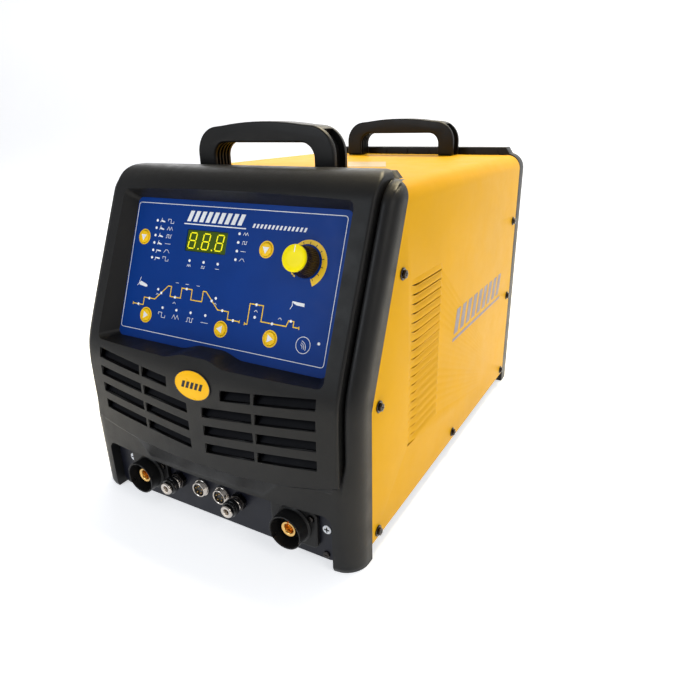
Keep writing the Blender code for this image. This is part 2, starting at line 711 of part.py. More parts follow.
# ---- rear and inside ----
def build_fan():
    depth_low = REAR_PANEL_Y - GAP - FAN_THICK
    at = facing_rear(FAN_X, depth_low, FAN_Z)
    outline = round_rect(FAN_HALF, FAN_HALF, 0.006, 2)
    frame = place(prism("fan_frame", outline, 0.0, FAN_THICK, BLACK_PLASTIC), at)
    tunnel = [(0.0, 0.004), (0.0570, 0.004), (0.0570, 0.05), (0.0, 0.05)]
    combine(frame, place(turned("cut_fan", tunnel, sides=28), at))
    disc = bmesh.new()
    bmesh.ops.create_cone(disc, cap_ends=True, segments=28, radius1=0.0570, radius2=0.0570, depth=0.02)
    opening = place(finish_mesh("cut_fan_front", disc, None), at)
    spokes = [
        ((-0.059, -0.004, -0.02), (0.059, 0.004, 0.02)),
        ((-0.0041, -0.0589, -0.019), (0.0041, 0.0589, 0.019)),
    ]
    keep = place(blocks("keep_spokes", spokes), at)
    hub = [(0.0, -0.021), (0.022, -0.021), (0.022, 0.021), (0.0, 0.021)]
    combine(keep, place(turned("keep_hub", hub, sides=20), at), "UNION")
    combine(opening, keep)
    combine(frame, opening)

    hub = [(0.0, 0.0050), (0.0200, 0.0050), (0.0210, 0.0060), (0.0210, 0.0300), (0.0, 0.0300)]
    rotor = place(turned("fan_rotor", hub, BLACK_PLASTIC, 20), at)
    blades = bmesh.new()
    for number in range(7):
        turn = Matrix.Rotation(2 * math.pi * number / 7, 4, "Z")
        pitch = Matrix.Translation((0.0360, 0.0, 0.0175)) @ Matrix.Rotation(math.radians(38), 4, "X")
        stretch = Matrix.Diagonal((0.0360, 0.0260, 0.0016, 1.0))
        bmesh.ops.create_cube(blades, size=1.0, matrix=turn @ pitch @ stretch)
    combine(rotor, place(finish_mesh("join_blades", blades, None), at), "UNION")

    guard_at = facing_rear(FAN_X, REAR_PANEL_Y + SHEET + GAP, FAN_Z)
    guard = place(block("fan_guard", (-0.0620, -0.0022, 0.0), (0.0620, 0.0022, 0.0025), STEEL), guard_at)
    bar = block("join_guard_bar", (-0.0022, -0.0620, 0.0002), (0.0022, 0.0620, 0.0024))
    combine(guard, place(bar, guard_at), "UNION")
    for number, radius in enumerate((0.0150, 0.0270, 0.0390, 0.0510)):
        inner, outer = radius - 0.0013, radius + 0.0013
        wire = [(inner, 0.0004), (outer, 0.0004), (outer, 0.0030), (inner, 0.0030)]
        combine(guard, place(turned(f"join_guard_ring_{number}", wire, sides=16), guard_at), "UNION")


def comb(left, right, low, high, fins):
    """Heatsink section: a thick base on top and fins hanging from it."""
    base, fin = 0.008, 0.002
    pitch = (right - left - fin) / (fins - 1)
    points = [(right, high), (left, high)]
    for number in range(fins):
        edge = left + number * pitch
        points += [(edge, low), (edge + fin, low)]
        if number < fins - 1:
            points += [(edge + fin, high - base), (edge + pitch, high - base)]
    return points


def build_power_parts():
    c = COVER_FRONT
    for name, left, right in (("inverter_heatsink", -0.122, -0.004), ("rectifier_heatsink", 0.004, 0.122)):
        prism(name, comb(left, right, 0.120, 0.196, 9), c + 0.170, c + 0.370, ALUMINIUM, "Y")
    board = block("power_board", (-0.125, c + 0.165, 0.2000), (0.125, c + 0.378, 0.2016), CIRCUIT_BOARD)
    cans = bmesh.new()
    for x in (-0.075, 0.0, 0.075):
        bmesh.ops.create_cone(
            cans, cap_ends=True, segments=16, radius1=0.0175, radius2=0.0175, depth=0.050,
            matrix=Matrix.Translation((x, c + 0.300, 0.226)),
        )
    combine(board, finish_mesh("join_capacitors", cans, None), "UNION")

    outline = round_rect(0.046, 0.040, 0.001, 1, (-0.075, 0.058))
    core = prism("transformer_core", outline, c + 0.080, c + 0.125, FERRITE, "Y")
    combine(core, block("cut_core", (-0.099, c + 0.07, 0.036), (-0.051, c + 0.135, 0.080)))
    coil = block("transformer_winding", (-0.0980, c + 0.0700, 0.0810), (-0.0520, c + 0.1350, 0.1070), COPPER)
    combine(coil, block("cut_winding", (-0.1100, c + 0.0795, 0.0795), (-0.0400, c + 0.1255, 0.0983)))
    limb = block("join_winding_under", (-0.0975, c + 0.0705, 0.0700), (-0.0525, c + 0.1345, 0.0797))
    combine(coil, limb, "UNION")
    sides = blocks("join_winding_sides", [
        ((-0.0978, c + 0.0702, 0.0702), (-0.0522, c + 0.0790, 0.1060)),
        ((-0.0978, c + 0.1260, 0.0702), (-0.0522, c + 0.1348, 0.1060)),
    ])
    combine(coil, sides, "UNION")
    ring = [
        (0.0160, 0.0), (0.0360, 0.0), (0.0400, 0.004),
        (0.0400, 0.028), (0.0360, 0.032), (0.0160, 0.032),
    ]
    place(turned("output_choke", ring, COPPER, 24), Matrix.Translation((0.070, c + 0.105, 0.0155)))
    block("hf_ignition_unit", (0.020, c + 0.200, 0.0150), (0.110, c + 0.310, 0.0700), BLACK_PLASTIC)

    valve = block("gas_valve", (0.088, c + 0.345, 0.050), (0.122, c + 0.385, 0.110), BRASS)
    combine(valve, block("cut_valve_waist", (0.080, c + 0.340, 0.092), (0.093, c + 0.390, 0.120)))
    inlet = [
        (0.0, -0.0400), (0.0055, -0.0400), (0.0055, 0.0019), (0.0100, 0.0019), (0.0100, 0.0100),
        (0.0060, 0.0105), (0.0060, 0.0180), (0.0072, 0.0190), (0.0052, 0.0290), (0.0068, 0.0300),
        (0.0046, 0.0410), (0.0026, 0.0410), (0.0026, 0.0150), (0.0, 0.0150),
    ]
    place(turned("gas_inlet", inlet, BRASS, 16), rear_seat(INLET_AT))
    gland = [
        (0.0060, -0.0120), (0.0104, -0.0120), (0.0104, 0.0019), (0.0150, 0.0019), (0.0150, 0.0120),
        (0.0135, 0.0130), (0.0135, 0.0260), (0.0105, 0.0310), (0.0060, 0.0310),
    ]
    place(turned("cable_gland", gland, BLACK_PLASTIC, 16), rear_seat(GLAND_AT))
    rear = c + REAR_PANEL_Y - GAP
    block("mains_switch_body", (-0.130, c + 0.375, 0.245), (-0.080, rear, 0.295), BLACK_PLASTIC)
    dial = [
        (0.0, 0.0003), (0.0040, 0.0003), (0.0040, 0.0020), (0.0200, 0.0020),
        (0.0200, 0.0070), (0.0185, 0.0085), (0.0, 0.0085),
    ]
    lever = place(turned("mains_switch_lever", dial, BLACK_PLASTIC, 24), rear_seat(SWITCH_AT))
    grip = prism("join_lever_grip", round_rect(0.0050, 0.0180, 0.003, 2), 0.0060, 0.0230)
    combine(lever, place(grip, rear_seat(SWITCH_AT)), "UNION")


def build_screws():
    """Washer-head screws, seven on each side of the cover, heads outwards."""
    profile = [
        (0.0, -0.0080), (0.0024, -0.0080), (0.0024, 0.0003), (0.0056, 0.0003), (0.0056, 0.0014),
        (0.0042, 0.0018), (0.0040, 0.0038), (0.0, 0.0040),
    ]
    for side_name, side in (("left", -1), ("right", 1)):
        for place_name, (distance, height) in SCREWS.items():
            screw = turned(f"cover_screw_{side_name}_{place_name}", profile, DARK_STEEL, 8)
            turn = Matrix.Rotation(side * math.pi / 2, 4, "Y")
            place(screw, Matrix.Translation((side * HALF_WIDTH, COVER_FRONT + distance, height)) @ turn)


def main():
    holes = side_holes()
    build_front_bezel(holes)
    build_cover(holes)
    build_base_pan(holes)
    build_connector_panel()
    panel, bezel, lip = build_rear()
    combine(bezel, lip, "UNION")
    combine(bezel, holes)
    build_handle("front_handle", HANDLE_Y[0])
    build_handle("rear_handle", HANDLE_Y[1])
    build_controls()
    build_connectors()
    build_fan()
    build_power_parts()
    build_screws()


main()
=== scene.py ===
"""Looks of the TIG welding machine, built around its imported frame. Metres, +Z up, the front faces -Y."""

import math

import bmesh
import bpy
from mathutils import Matrix, Vector


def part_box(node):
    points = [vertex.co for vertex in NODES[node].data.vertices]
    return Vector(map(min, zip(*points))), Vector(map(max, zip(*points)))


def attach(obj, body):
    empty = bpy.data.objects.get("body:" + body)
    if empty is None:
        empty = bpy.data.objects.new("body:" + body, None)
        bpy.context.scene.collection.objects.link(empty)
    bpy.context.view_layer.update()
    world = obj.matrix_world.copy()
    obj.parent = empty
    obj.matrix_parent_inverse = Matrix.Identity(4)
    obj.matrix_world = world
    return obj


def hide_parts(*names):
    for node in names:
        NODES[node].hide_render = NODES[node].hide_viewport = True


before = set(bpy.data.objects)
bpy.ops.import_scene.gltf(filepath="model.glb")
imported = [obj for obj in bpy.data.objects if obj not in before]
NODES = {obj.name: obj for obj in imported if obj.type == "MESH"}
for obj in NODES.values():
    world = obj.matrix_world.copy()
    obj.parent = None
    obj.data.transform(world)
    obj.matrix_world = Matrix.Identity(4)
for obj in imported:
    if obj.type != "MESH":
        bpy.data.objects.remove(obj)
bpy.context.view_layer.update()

# ---- dimensions shared with the frame ----
HALF_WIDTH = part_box("outer_cover")[1].x
COVER_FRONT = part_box("outer_cover")[0].y - 0.0003
COVER_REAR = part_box("outer_cover")[1].y
COVER_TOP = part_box("outer_cover")[1].z
COVER_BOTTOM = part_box("outer_cover")[0].z
COVER_RADIUS = 0.018
SHEET = 0.0016
CUT_KNEE, CUT_SLOPE = 0.153, 0.405
FACE_Y, FACE_CROWN, FACE_KNEE, FACE_SLOPE, KNEE_BLEND = -0.0384, 0.0060, 0.167, 0.45, 0.014
WALL = 0.0035
HOOD_HALF, HOOD_TOP, RAIL_TOP = 0.149, 0.341, 0.3335
LEG_INNER, OPENING_TOP = 0.141, 0.0585
FASCIA_LEAN = math.atan(0.41)
FASCIA_MID = (0.0, 0.0207, 0.2457)
FASCIA_HALF, FASCIA_LOW, FASCIA_HIGH = 0.1255, -0.073, 0.0695
SIDE_FLARE, TOP_FLARE = 0.485, 0.31
HUMP_HEIGHT, HUMP_FLAT, HUMP_END = 0.0058, 0.012, 0.038
SLOT_PITCH, SLOT_FIRST, SLOT_HEIGHT = 0.0188, 0.1525, 0.0102
SLOT_INNER, SLOT_OUTER, SLOT_RISE = 0.009, 0.1295, 0.107
SLOT_BAR_X, SLOT_BAR, BADGE_SLOT_INNER = 0.0675, 0.003, 0.0325
KNOB_AT = (0.0873, 0.0223)
BUTTONS = {
    "mode_button": (-0.1098, 0.0295, -90),
    "output_button": (0.0435, 0.0295, -90),
    "pulse_button": (-0.0915, -0.0484, 0),
    "parameter_button": (0.0062, -0.0484, 180),
    "memory_button": (0.0627, -0.0484, 0),
}


# ---- node materials ----
class Nodes:
    """Short way to write a Principled material's node tree."""

    def __init__(self, name):
        self.material = bpy.data.materials.new(name)
        self.material.use_nodes = True
        self.tree = self.material.node_tree
        self.shader = self.tree.nodes["Principled BSDF"]
        self.coords = self.tree.nodes.new("ShaderNodeTexCoord").outputs["Object"]

    def new(self, kind):
        return self.tree.nodes.new("ShaderNode" + kind)

    def link(self, source, target):
        self.tree.links.new(source, target)

    def noise(self, scale, detail=3.0, roughness=0.5, stretch=None):
        node = self.new("TexNoise")
        node.inputs["Scale"].default_value = scale
        node.inputs["Detail"].default_value = detail
        node.inputs["Roughness"].default_value = roughness
        if stretch:
            mapping = self.new("Mapping")
            mapping.inputs["Scale"].default_value = stretch
            self.link(self.coords, mapping.inputs["Vector"])
            self.link(mapping.outputs["Vector"], node.inputs["Vector"])
        else:
            self.link(self.coords, node.inputs["Vector"])
        return node.outputs["Fac"]

    def ramp(self, source, stops):
        node = self.new("ValToRGB")
        elements = node.color_ramp.elements
        while len(elements) < len(stops):
            elements.new(0.5)
        for element, (at, colour) in zip(elements, stops):
            element.position = at
            element.color = (*colour, 1.0)
        self.link(source, node.inputs["Fac"])
        return node.outputs["Color"]

    def spread(self, source, low, high, start=0.3, end=0.7):
        node = self.new("MapRange")
        for key, value in (("From Min", start), ("From Max", end), ("To Min", low), ("To Max", high)):
            node.inputs[key].default_value = value
        self.link(source, node.inputs["Value"])
        return node.outputs["Result"]

    def bump(self, source, distance, strength=1.0, under=None):
        node = self.new("Bump")
        node.inputs["Distance"].default_value = distance
        node.inputs["Strength"].default_value = strength
        self.link(source, node.inputs["Height"])
        if under:
            self.link(under, node.inputs["Normal"])
        return node.outputs["Normal"]

    def set(self, **values):
        for key, value in values.items():
            self.shader.inputs[key.replace("_", " ")].default_value = value

    def wire(self, **sources):
        for key, source in sources.items():
            self.link(source, self.shader.inputs[key.replace("_", " ")])


def shade(colour, factor):
    return tuple(min(1.0, c * factor) for c in colour)


def grained_plastic(name, colour, grain=900.0, depth=0.00010, rough=(0.42, 0.58), coat=0.0, gloss=0.4):
    m = Nodes(name)
    cloud = m.noise(9.0, 4.0)
    fine = m.noise(grain, 2.0, 0.6)
    m.wire(
        Base_Color=m.ramp(cloud, [(0.35, shade(colour, 0.82)), (0.65, shade(colour, 1.18))]),
        Roughness=m.spread(m.noise(60.0, 5.0, 0.65), *rough),
        Normal=m.bump(fine, depth, 0.55, m.bump(m.noise(grain * 0.35, 2.0), depth * 1.2, 0.35)),
    )
    m.set(Specular_IOR_Level=gloss, Coat_Weight=coat, Coat_Roughness=0.25)
    return m.material


def painted(name, colour, rough=(0.38, 0.48), coat=0.08, peel=0.00005, gloss=0.30):
    """Powder coat: a fine orange peel, a soft gloss and a faint dust film."""
    m = Nodes(name)
    m.wire(
        Base_Color=m.ramp(
            m.noise(5.0, 5.0, 0.6), [(0.30, shade(colour, 0.93)), (0.70, shade(colour, 1.05))],
        ),
        Roughness=m.spread(m.noise(30.0, 6.0, 0.7), *rough),
        Normal=m.bump(m.noise(520.0, 3.0, 0.55), peel, 0.6),
    )
    m.set(Coat_Weight=coat, Coat_Roughness=0.18, Specular_IOR_Level=gloss)
    return m.material


def metal(name, colour, rough=(0.14, 0.30), scratches=0.00003, stretch=(1.0, 1.0, 1.0), grain=420.0):
    m = Nodes(name)
    m.wire(
        Base_Color=m.ramp(m.noise(80.0, 4.0), [(0.30, shade(colour, 0.86)), (0.70, shade(colour, 1.06))]),
        Roughness=m.spread(m.noise(160.0, 5.0, 0.7), *rough),
        Normal=m.bump(m.noise(grain, 3.0, 0.6, stretch), scratches, 0.5),
    )
    m.set(Metallic=1.0)
    return m.material


def smooth_print(name, colour, rough=(0.30, 0.42), glow=0.0, gloss=0.25):
    m = Nodes(name)
    m.wire(
        Base_Color=m.ramp(m.noise(25.0, 3.0), [(0.30, shade(colour, 0.94)), (0.70, shade(colour, 1.04))]),
        Roughness=m.spread(m.noise(90.0, 4.0), *rough),
        Normal=m.bump(m.noise(900.0, 2.0), 0.000006, 0.3),
    )
    m.set(Specular_IOR_Level=gloss)
    if glow:
        m.set(Emission_Color=(*colour, 1.0), Emission_Strength=glow)
    return m.material


BLACK = grained_plastic("moulded_black", (0.0085, 0.0085, 0.0088), 950.0, 0.00012, (0.34, 0.48), 0.0, 0.22)
HANDLE_BLACK = grained_plastic(
    "handle_black", (0.0045, 0.0042, 0.0042), 950.0, 0.00010, (0.36, 0.50), 0.0, 0.30,
)
BLACK_SMOOTH = grained_plastic("smooth_black", (0.008, 0.008, 0.009), 1500.0, 0.00003, (0.18, 0.32), 0.1)
KNOB_BLACK = grained_plastic("knob_black", (0.020, 0.011, 0.006), 1500.0, 0.00003, (0.25, 0.38))
# grille blades: the bezel's black plastic made darker and bluer as painted shade, for the shadow inside the
# slots
BLADE_BLACK_PAINTED_SHADE = grained_plastic(
    "grille_black_painted_shade", (0.0022, 0.0025, 0.0045), 900.0, 0.00010, (0.50, 0.65), 0.0, 0.15,
)
YELLOW = painted("yellow_powder_coat", (0.640, 0.340, 0.0015), (0.46, 0.56), 0.0, 0.00005, 0.10)
SHEET_BLACK = painted("black_blue_sheet", (0.006, 0.007, 0.014), (0.36, 0.50), 0.05, 0.00004, 0.25)
BLUE = smooth_print("blue_film", (0.0010, 0.0360, 0.2300), (0.30, 0.40), 0.0, 0.10)
WHITE = smooth_print("white_print", (0.86, 0.88, 0.92))
LINE_YELLOW = smooth_print("yellow_print", (0.95, 0.60, 0.02))
BUTTON_YELLOW = smooth_print("yellow_button", (1.0, 0.60, 0.003), (0.24, 0.34))
CAP_YELLOW = smooth_print("yellow_cap", (0.98, 0.82, 0.0005), (0.26, 0.36), 0.0, 0.15)
BADGE_YELLOW = smooth_print("yellow_badge", (0.94, 0.50, 0.002), (0.26, 0.36), 0.0, 0.18)
DIGIT = smooth_print("lit_digit", (0.78, 0.72, 0.004), (0.3, 0.4), 0.55)
DIGIT_OFF = smooth_print("display_back", (0.045, 0.085, 0.002), (0.28, 0.36), 0.10, 0.15)
DARK_PRINT = smooth_print("dark_print", (0.010, 0.011, 0.018))
PLATE_GREY = smooth_print("plate_grey", (0.46, 0.34, 0.16))
BAND_BLUE = smooth_print("band_blue", (0.170, 0.145, 0.185))
LAMP_WHITE = smooth_print("lamp_white", (0.90, 0.92, 0.95), (0.12, 0.22), 0.12)
NICKEL = metal("nickel_plate", (0.62, 0.57, 0.52), (0.10, 0.24))
BRASS = metal("turned_brass", (0.80, 0.50, 0.17), (0.14, 0.28), 0.00004)
DARK_STEEL = metal("black_oxide", (0.055, 0.050, 0.048), (0.18, 0.36))
GALVANISED = metal("bright_steel", (0.48, 0.48, 0.50), (0.26, 0.42))
ALUMINIUM = metal("extruded_aluminium", (0.66, 0.67, 0.69), (0.30, 0.46), 0.00004, (1.0, 0.05, 1.0))
COPPER = metal("copper_turns", (0.55, 0.22, 0.08), (0.30, 0.45), 0.00030, (0.2, 0.2, 1.0), 800.0)
BOARD = grained_plastic("circuit_board", (0.012, 0.085, 0.030), 700.0, 0.00004, (0.30, 0.45))
FERRITE = grained_plastic("ferrite", (0.045, 0.045, 0.050), 500.0, 0.00010, (0.50, 0.70))
RUBBER = grained_plastic("gland_rubber", (0.012, 0.012, 0.012), 700.0, 0.00006, (0.45, 0.60))


# ---- mesh helpers ----
def link_mesh(name, shape, skin, angle=35.0):
    bmesh.ops.recalc_face_normals(shape, faces=shape.faces)
    mesh = bpy.data.meshes.new(name)
    shape.to_mesh(mesh)
    shape.free()
    made = bpy.data.objects.new(name, mesh)
    bpy.context.scene.collection.objects.link(made)
    if skin is not None:
        mesh.materials.append(skin)
    mesh.shade_smooth()
    mesh.set_sharp_from_angle(angle=math.radians(angle))
    return made


def piece(made, slot, *replaced, body="machine"):
    """Hands a finished object over to the frame."""
    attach(made, body)
    if replaced:
        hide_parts(*replaced)
    return made


def join_rings(shape, rings, closed=False):
    """Faces from each ring to the next, with capped ends, or with the last joined to the first if closed."""
    for low, high in zip(rings, rings[1:] + rings[:1] if closed else rings[1:]):
        for index in range(len(low)):
            after = (index + 1) % len(low)
            shape.faces.new((low[index], low[after], high[after], high[index]))
    if not closed:
        shape.faces.new(rings[0])
        shape.faces.new(rings[-1])


def join_sheets(shape, layers):
    """Faces of a thin sheet between two equal grids of points, with its four edges."""
    outer, inner = layers
    rows, columns = len(outer) - 1, len(outer[0]) - 1
    for i in range(rows):
        for j in range(columns):
            for grid in layers:
                shape.faces.new((grid[i][j], grid[i + 1][j], grid[i + 1][j + 1], grid[i][j + 1]))
        for j in (0, columns):
            shape.faces.new((outer[i][j], outer[i + 1][j], inner[i + 1][j], inner[i][j]))
    for j in range(columns):
        for i in (0, rows):
            shape.faces.new((outer[i][j], outer[i][j + 1], inner[i][j + 1], inner[i][j]))


def loft(name, sections, skin=None, angle=35.0, closed=False):
    shape = bmesh.new()
    join_rings(shape, [[shape.verts.new(point) for point in section] for section in sections], closed)
    return link_mesh(name, shape, skin, angle)


def ribbed_rings(profile, at, sides, ribs, depth, power):
    """Rings along a profile of (radius, height, ribbed), with ribs where ribbed is 1."""
    rings = []
    for radius, height, ribbed in profile:
        ring = []
        for step in range(sides):
            turn = 2 * math.pi * step / sides
            r = radius - ribbed * depth * (0.5 - 0.5 * math.cos(ribs * turn)) ** power
            ring.append(at @ Vector((r * math.cos(turn), r * math.sin(turn), height)))
        rings.append(ring)
    return rings


SWAP = {
    "Z": lambda p, h: (p[0], p[1], h),
    "Y": lambda p, h: (p[0], h, p[1]),
    "X": lambda p, h: (h, p[0], p[1]),
}


def prism(name, outline, low, high, skin=None, axis="Z"):
    return loft(name, [[SWAP[axis](point, height) for point in outline] for height in (low, high)], skin)


def add_prism(shape, outline, low, high, matrix=None):
    """Adds one flat prism to a bmesh, for print and other small repeated shapes."""
    rings = []
    for height in (low, high):
        points = [Vector((x, y, height)) for x, y in outline]
        rings.append([shape.verts.new(matrix @ p if matrix else p) for p in points])
    join_rings(shape, rings)


def add_turned(shape, profile, sides, matrix=None):
    solid = profile[0][0] == 0.0
    rings = []
    for radius, height in profile:
        if radius == 0.0:
            points = [Vector((0.0, 0.0, height))]
        else:
            turns = [2 * math.pi * step / sides for step in range(sides)]
            points = [Vector((radius * math.cos(t), radius * math.sin(t), height)) for t in turns]
        rings.append([shape.verts.new(matrix @ p if matrix else p) for p in points])
    for low, high in list(zip(rings, rings[1:])) + ([] if solid else [(rings[-1], rings[0])]):
        for index in range(sides):
            after = (index + 1) % sides
            if len(low) == 1:
                shape.faces.new((low[0], high[after], high[index]))
            elif len(high) == 1:
                shape.faces.new((low[index], low[after], high[0]))
            else:
                shape.faces.new((low[index], low[after], high[after], high[index]))


def turned(name, profile, skin, matrix=None, sides=48, angle=35.0):
    shape = bmesh.new()
    add_turned(shape, profile, sides, matrix)
    return link_mesh(name, shape, skin, angle)


def add_box(shape, low, high, matrix=None):
    outline = [(low[0], low[1]), (high[0], low[1]), (high[0], high[1]), (low[0], high[1])]
    add_prism(shape, outline, low[2], high[2], matrix)


def round_rect(half_x, half_y, radius, steps=6, middle=(0.0, 0.0)):
    points = []
    for quarter, (side_x, side_y) in enumerate(((1, 1), (-1, 1), (-1, -1), (1, -1))):
        for step in range(steps + 1):
            turn = math.pi / 2 * (quarter + step / steps)
            points.append((
                middle[0] + side_x * (half_x - radius) + radius * math.cos(turn),
                middle[1] + side_y * (half_y - radius) + radius * math.sin(turn),
            ))
    return points


def circle(radius, sides=24, middle=(0.0, 0.0)):
    turns = [2 * math.pi * step / sides for step in range(sides)]
    return [(middle[0] + radius * math.cos(t), middle[1] + radius * math.sin(t)) for t in turns]


def boolean(target, other, operation="DIFFERENCE"):
    step = target.modifiers.new(other.name, "BOOLEAN")
    step.operation = operation
    step.solver = "EXACT"
    step.object = other
    return target


def bevel(target, width, segments=3, angle=40.0):
    step = target.modifiers.new("edge", "BEVEL")
    step.width = width
    step.segments = segments
    step.limit_method = "ANGLE"
    step.angle_limit = math.radians(angle)
    step.harden_normals = False
    return target


def bake(target, angle=35.0):
    """Applies the modifiers and removes the helpers they used."""
    helpers = [m.object for m in target.modifiers if m.type == "BOOLEAN"]
    bpy.context.view_layer.update()
    graph = bpy.context.evaluated_depsgraph_get()
    mesh = bpy.data.meshes.new_from_object(target.evaluated_get(graph))
    target.modifiers.clear()
    target.data = mesh
    for used in helpers:
        if used.name in bpy.data.objects:
            bpy.data.objects.remove(used)
    mesh.shade_smooth()
    mesh.set_sharp_from_angle(angle=math.radians(angle))
    return target


def move(target, matrix):
    target.data.transform(matrix)
    return target


def facing_front(x, y, z):
    return Matrix.Translation((x, y, z)) @ Matrix.Rotation(math.pi / 2, 4, "X")


def facing_rear(x, y, z):
    return Matrix.Translation((x, y, z)) @ Matrix.Rotation(-math.pi / 2, 4, "X")


def on_fascia(across=0.0, up=0.0, out=0.0):
    middle = Matrix.Translation((FASCIA_MID[0], COVER_FRONT + FASCIA_MID[1], FASCIA_MID[2]))
    lean = Matrix.Rotation(math.pi / 2 - FASCIA_LEAN, 4, "X")
    return middle @ lean @ Matrix.Translation((across, up, out))


# ---- front bezel ----
def cut_edge(height):
    return max(0.0, height - CUT_KNEE) * CUT_SLOPE


def face_y(across, height):
    over = height - FACE_KNEE
    lean = FACE_SLOPE * 0.5 * (over + math.hypot(over, KNEE_BLEND))
    return FACE_Y + lean + FACE_CROWN * (across / 0.135) ** 2


def round_over(height, top, radius):
    into = max(0.0, height - (top - radius))
    return radius - math.sqrt(max(0.0, radius ** 2 - into ** 2))


def smooth(value, low, high):
    t = min(1.0, max(0.0, (value - low) / (high - low)))
    return t * t * (3 - 2 * t)


# depth behind the face across the groove and the side rail, from the hood's edge outwards
RAIL = (
    (0.1440, 0.0020), (0.1475, 0.0060), (0.1490, 0.0115), (0.1494, 0.0125), (0.1500, 0.0128),
    (0.1506, 0.0122), (0.1509, 0.0105), (0.1511, 0.0086), (0.1515, 0.0073), (0.1523, 0.0066),
    (0.1540, 0.0062), (0.1560, 0.0062), (0.1580, 0.0068), (0.1600, 0.0080), (0.1615, 0.0095),
    (0.1630, 0.0117), (0.1640, 0.0141), (0.1646, 0.0166), (0.1649, 0.0193), (0.1650, 0.0215),
)


def corner_depth(across, radius=0.020):
    into = max(0.0, across - (HALF_WIDTH - radius))
    return radius - math.sqrt(max(0.0, radius ** 2 - into ** 2))


def base_section(height):
    """Plan of the body behind the hood: plain with round corners near the feet, a groove and a rail above."""
    rails = smooth(height, 0.082, 0.118)
    top_back = round_over(height, RAIL_TOP, 0.018)
    narrow = round_over(height, RAIL_TOP, 0.016)
    rear = cut_edge(height)
    toe = 0.0016 * (1 - smooth(height, 0.0, 0.006)) ** 2
    half = []
    for x in [0.018 * step for step in range(8)]:
        half.append((x, face_y(x, height) + 0.0005 + top_back))
    for x, depth in RAIL:
        low = 0.0005 + corner_depth(x)
        scale = (HALF_WIDTH - narrow) / HALF_WIDTH if x > 0.1600 else 1.0
        y = face_y(x, height) + low + (depth - low) * rails + top_back
        half.append((x * scale, min(y, rear - 0.001)))
    half.append((half[-1][0], rear))
    points = [(x, y + toe) for x, y in half[:-1]] + [half[-1]]
    ring = [(-x, y) for x, y in points[:0:-1]] + points
    return [(x, COVER_FRONT + y, height) for x, y in ring]


def hood_section(height, inset=0.0, rear=0.0):
    top = HOOD_TOP - inset
    half = HOOD_HALF - inset - round_over(height, top, 0.008)
    back = round_over(height, top, 0.021) + inset
    edge = 0.0030
    inner = half - edge
    points = [(-half, cut_edge(height) + rear)]
    front = face_y(inner, height) + back
    for step in range(7):
        turn = math.pi * (1 + step / 12)
        points.append((-inner + edge * math.cos(turn), front + edge + edge * math.sin(turn)))
    count = 20
    for step in range(1, count):
        x = inner * (2 * step / count - 1)
        points.append((x, face_y(x, height) + back))
    for step in range(7):
        turn = math.pi * (1.5 + step / 12)
        points.append((inner + edge * math.cos(turn), front + edge + edge * math.sin(turn)))
    points.append((half, cut_edge(height) + rear))
    return [(x, COVER_FRONT + y, height) for x, y in points]


def levels(low, high, *parts):
    """Heights from low to high, finer inside each (start, end, count) part."""
    found = {low, high}
    for start, end, count in parts:
        for step in range(count + 1):
            found.add(round(start + (end - start) * step / count, 6))
    return sorted(h for h in found if low <= h <= high)


def window_outline(out, radius=0.006, steps=6):
    half = FASCIA_HALF + SIDE_FLARE * out
    high = FASCIA_HIGH + TOP_FLARE * out
    low = FASCIA_LOW - out * math.tan(FASCIA_LEAN)
    outline = round_rect(half, (high - low) / 2, radius, steps, (0.0, (high + low) / 2))
    corner_end = 3 * (steps + 1)
    hump = []
    for step in range(21):
        across = HUMP_END * (step / 10 - 1)
        hump.append((across, low + HUMP_HEIGHT * smooth(HUMP_END - abs(across), 0.0, HUMP_END - HUMP_FLAT)))
    return outline[:corner_end] + hump + outline[corner_end:]


def window_prism(name, outs, grow=0.0):
    sections = []
    for out in outs:
        ring = []
        for x, y in window_outline(out):
            ring.append(on_fascia() @ Vector((x + math.copysign(grow, x), y + math.copysign(grow, y), out)))
        sections.append(ring)
    return loft(name, sections)


def slot_spans():
    """Every grille opening as (side, row, near, far)."""
    for side in (-1, 1):
        for row in range(4):
            inner = BADGE_SLOT_INNER if row == 0 else SLOT_INNER
            yield side, row, inner, SLOT_BAR_X - SLOT_BAR / 2
            yield side, row, SLOT_BAR_X + SLOT_BAR / 2, SLOT_OUTER


def slot_middle(row, across):
    return SLOT_FIRST - row * SLOT_PITCH + (across - SLOT_INNER) * SLOT_RISE


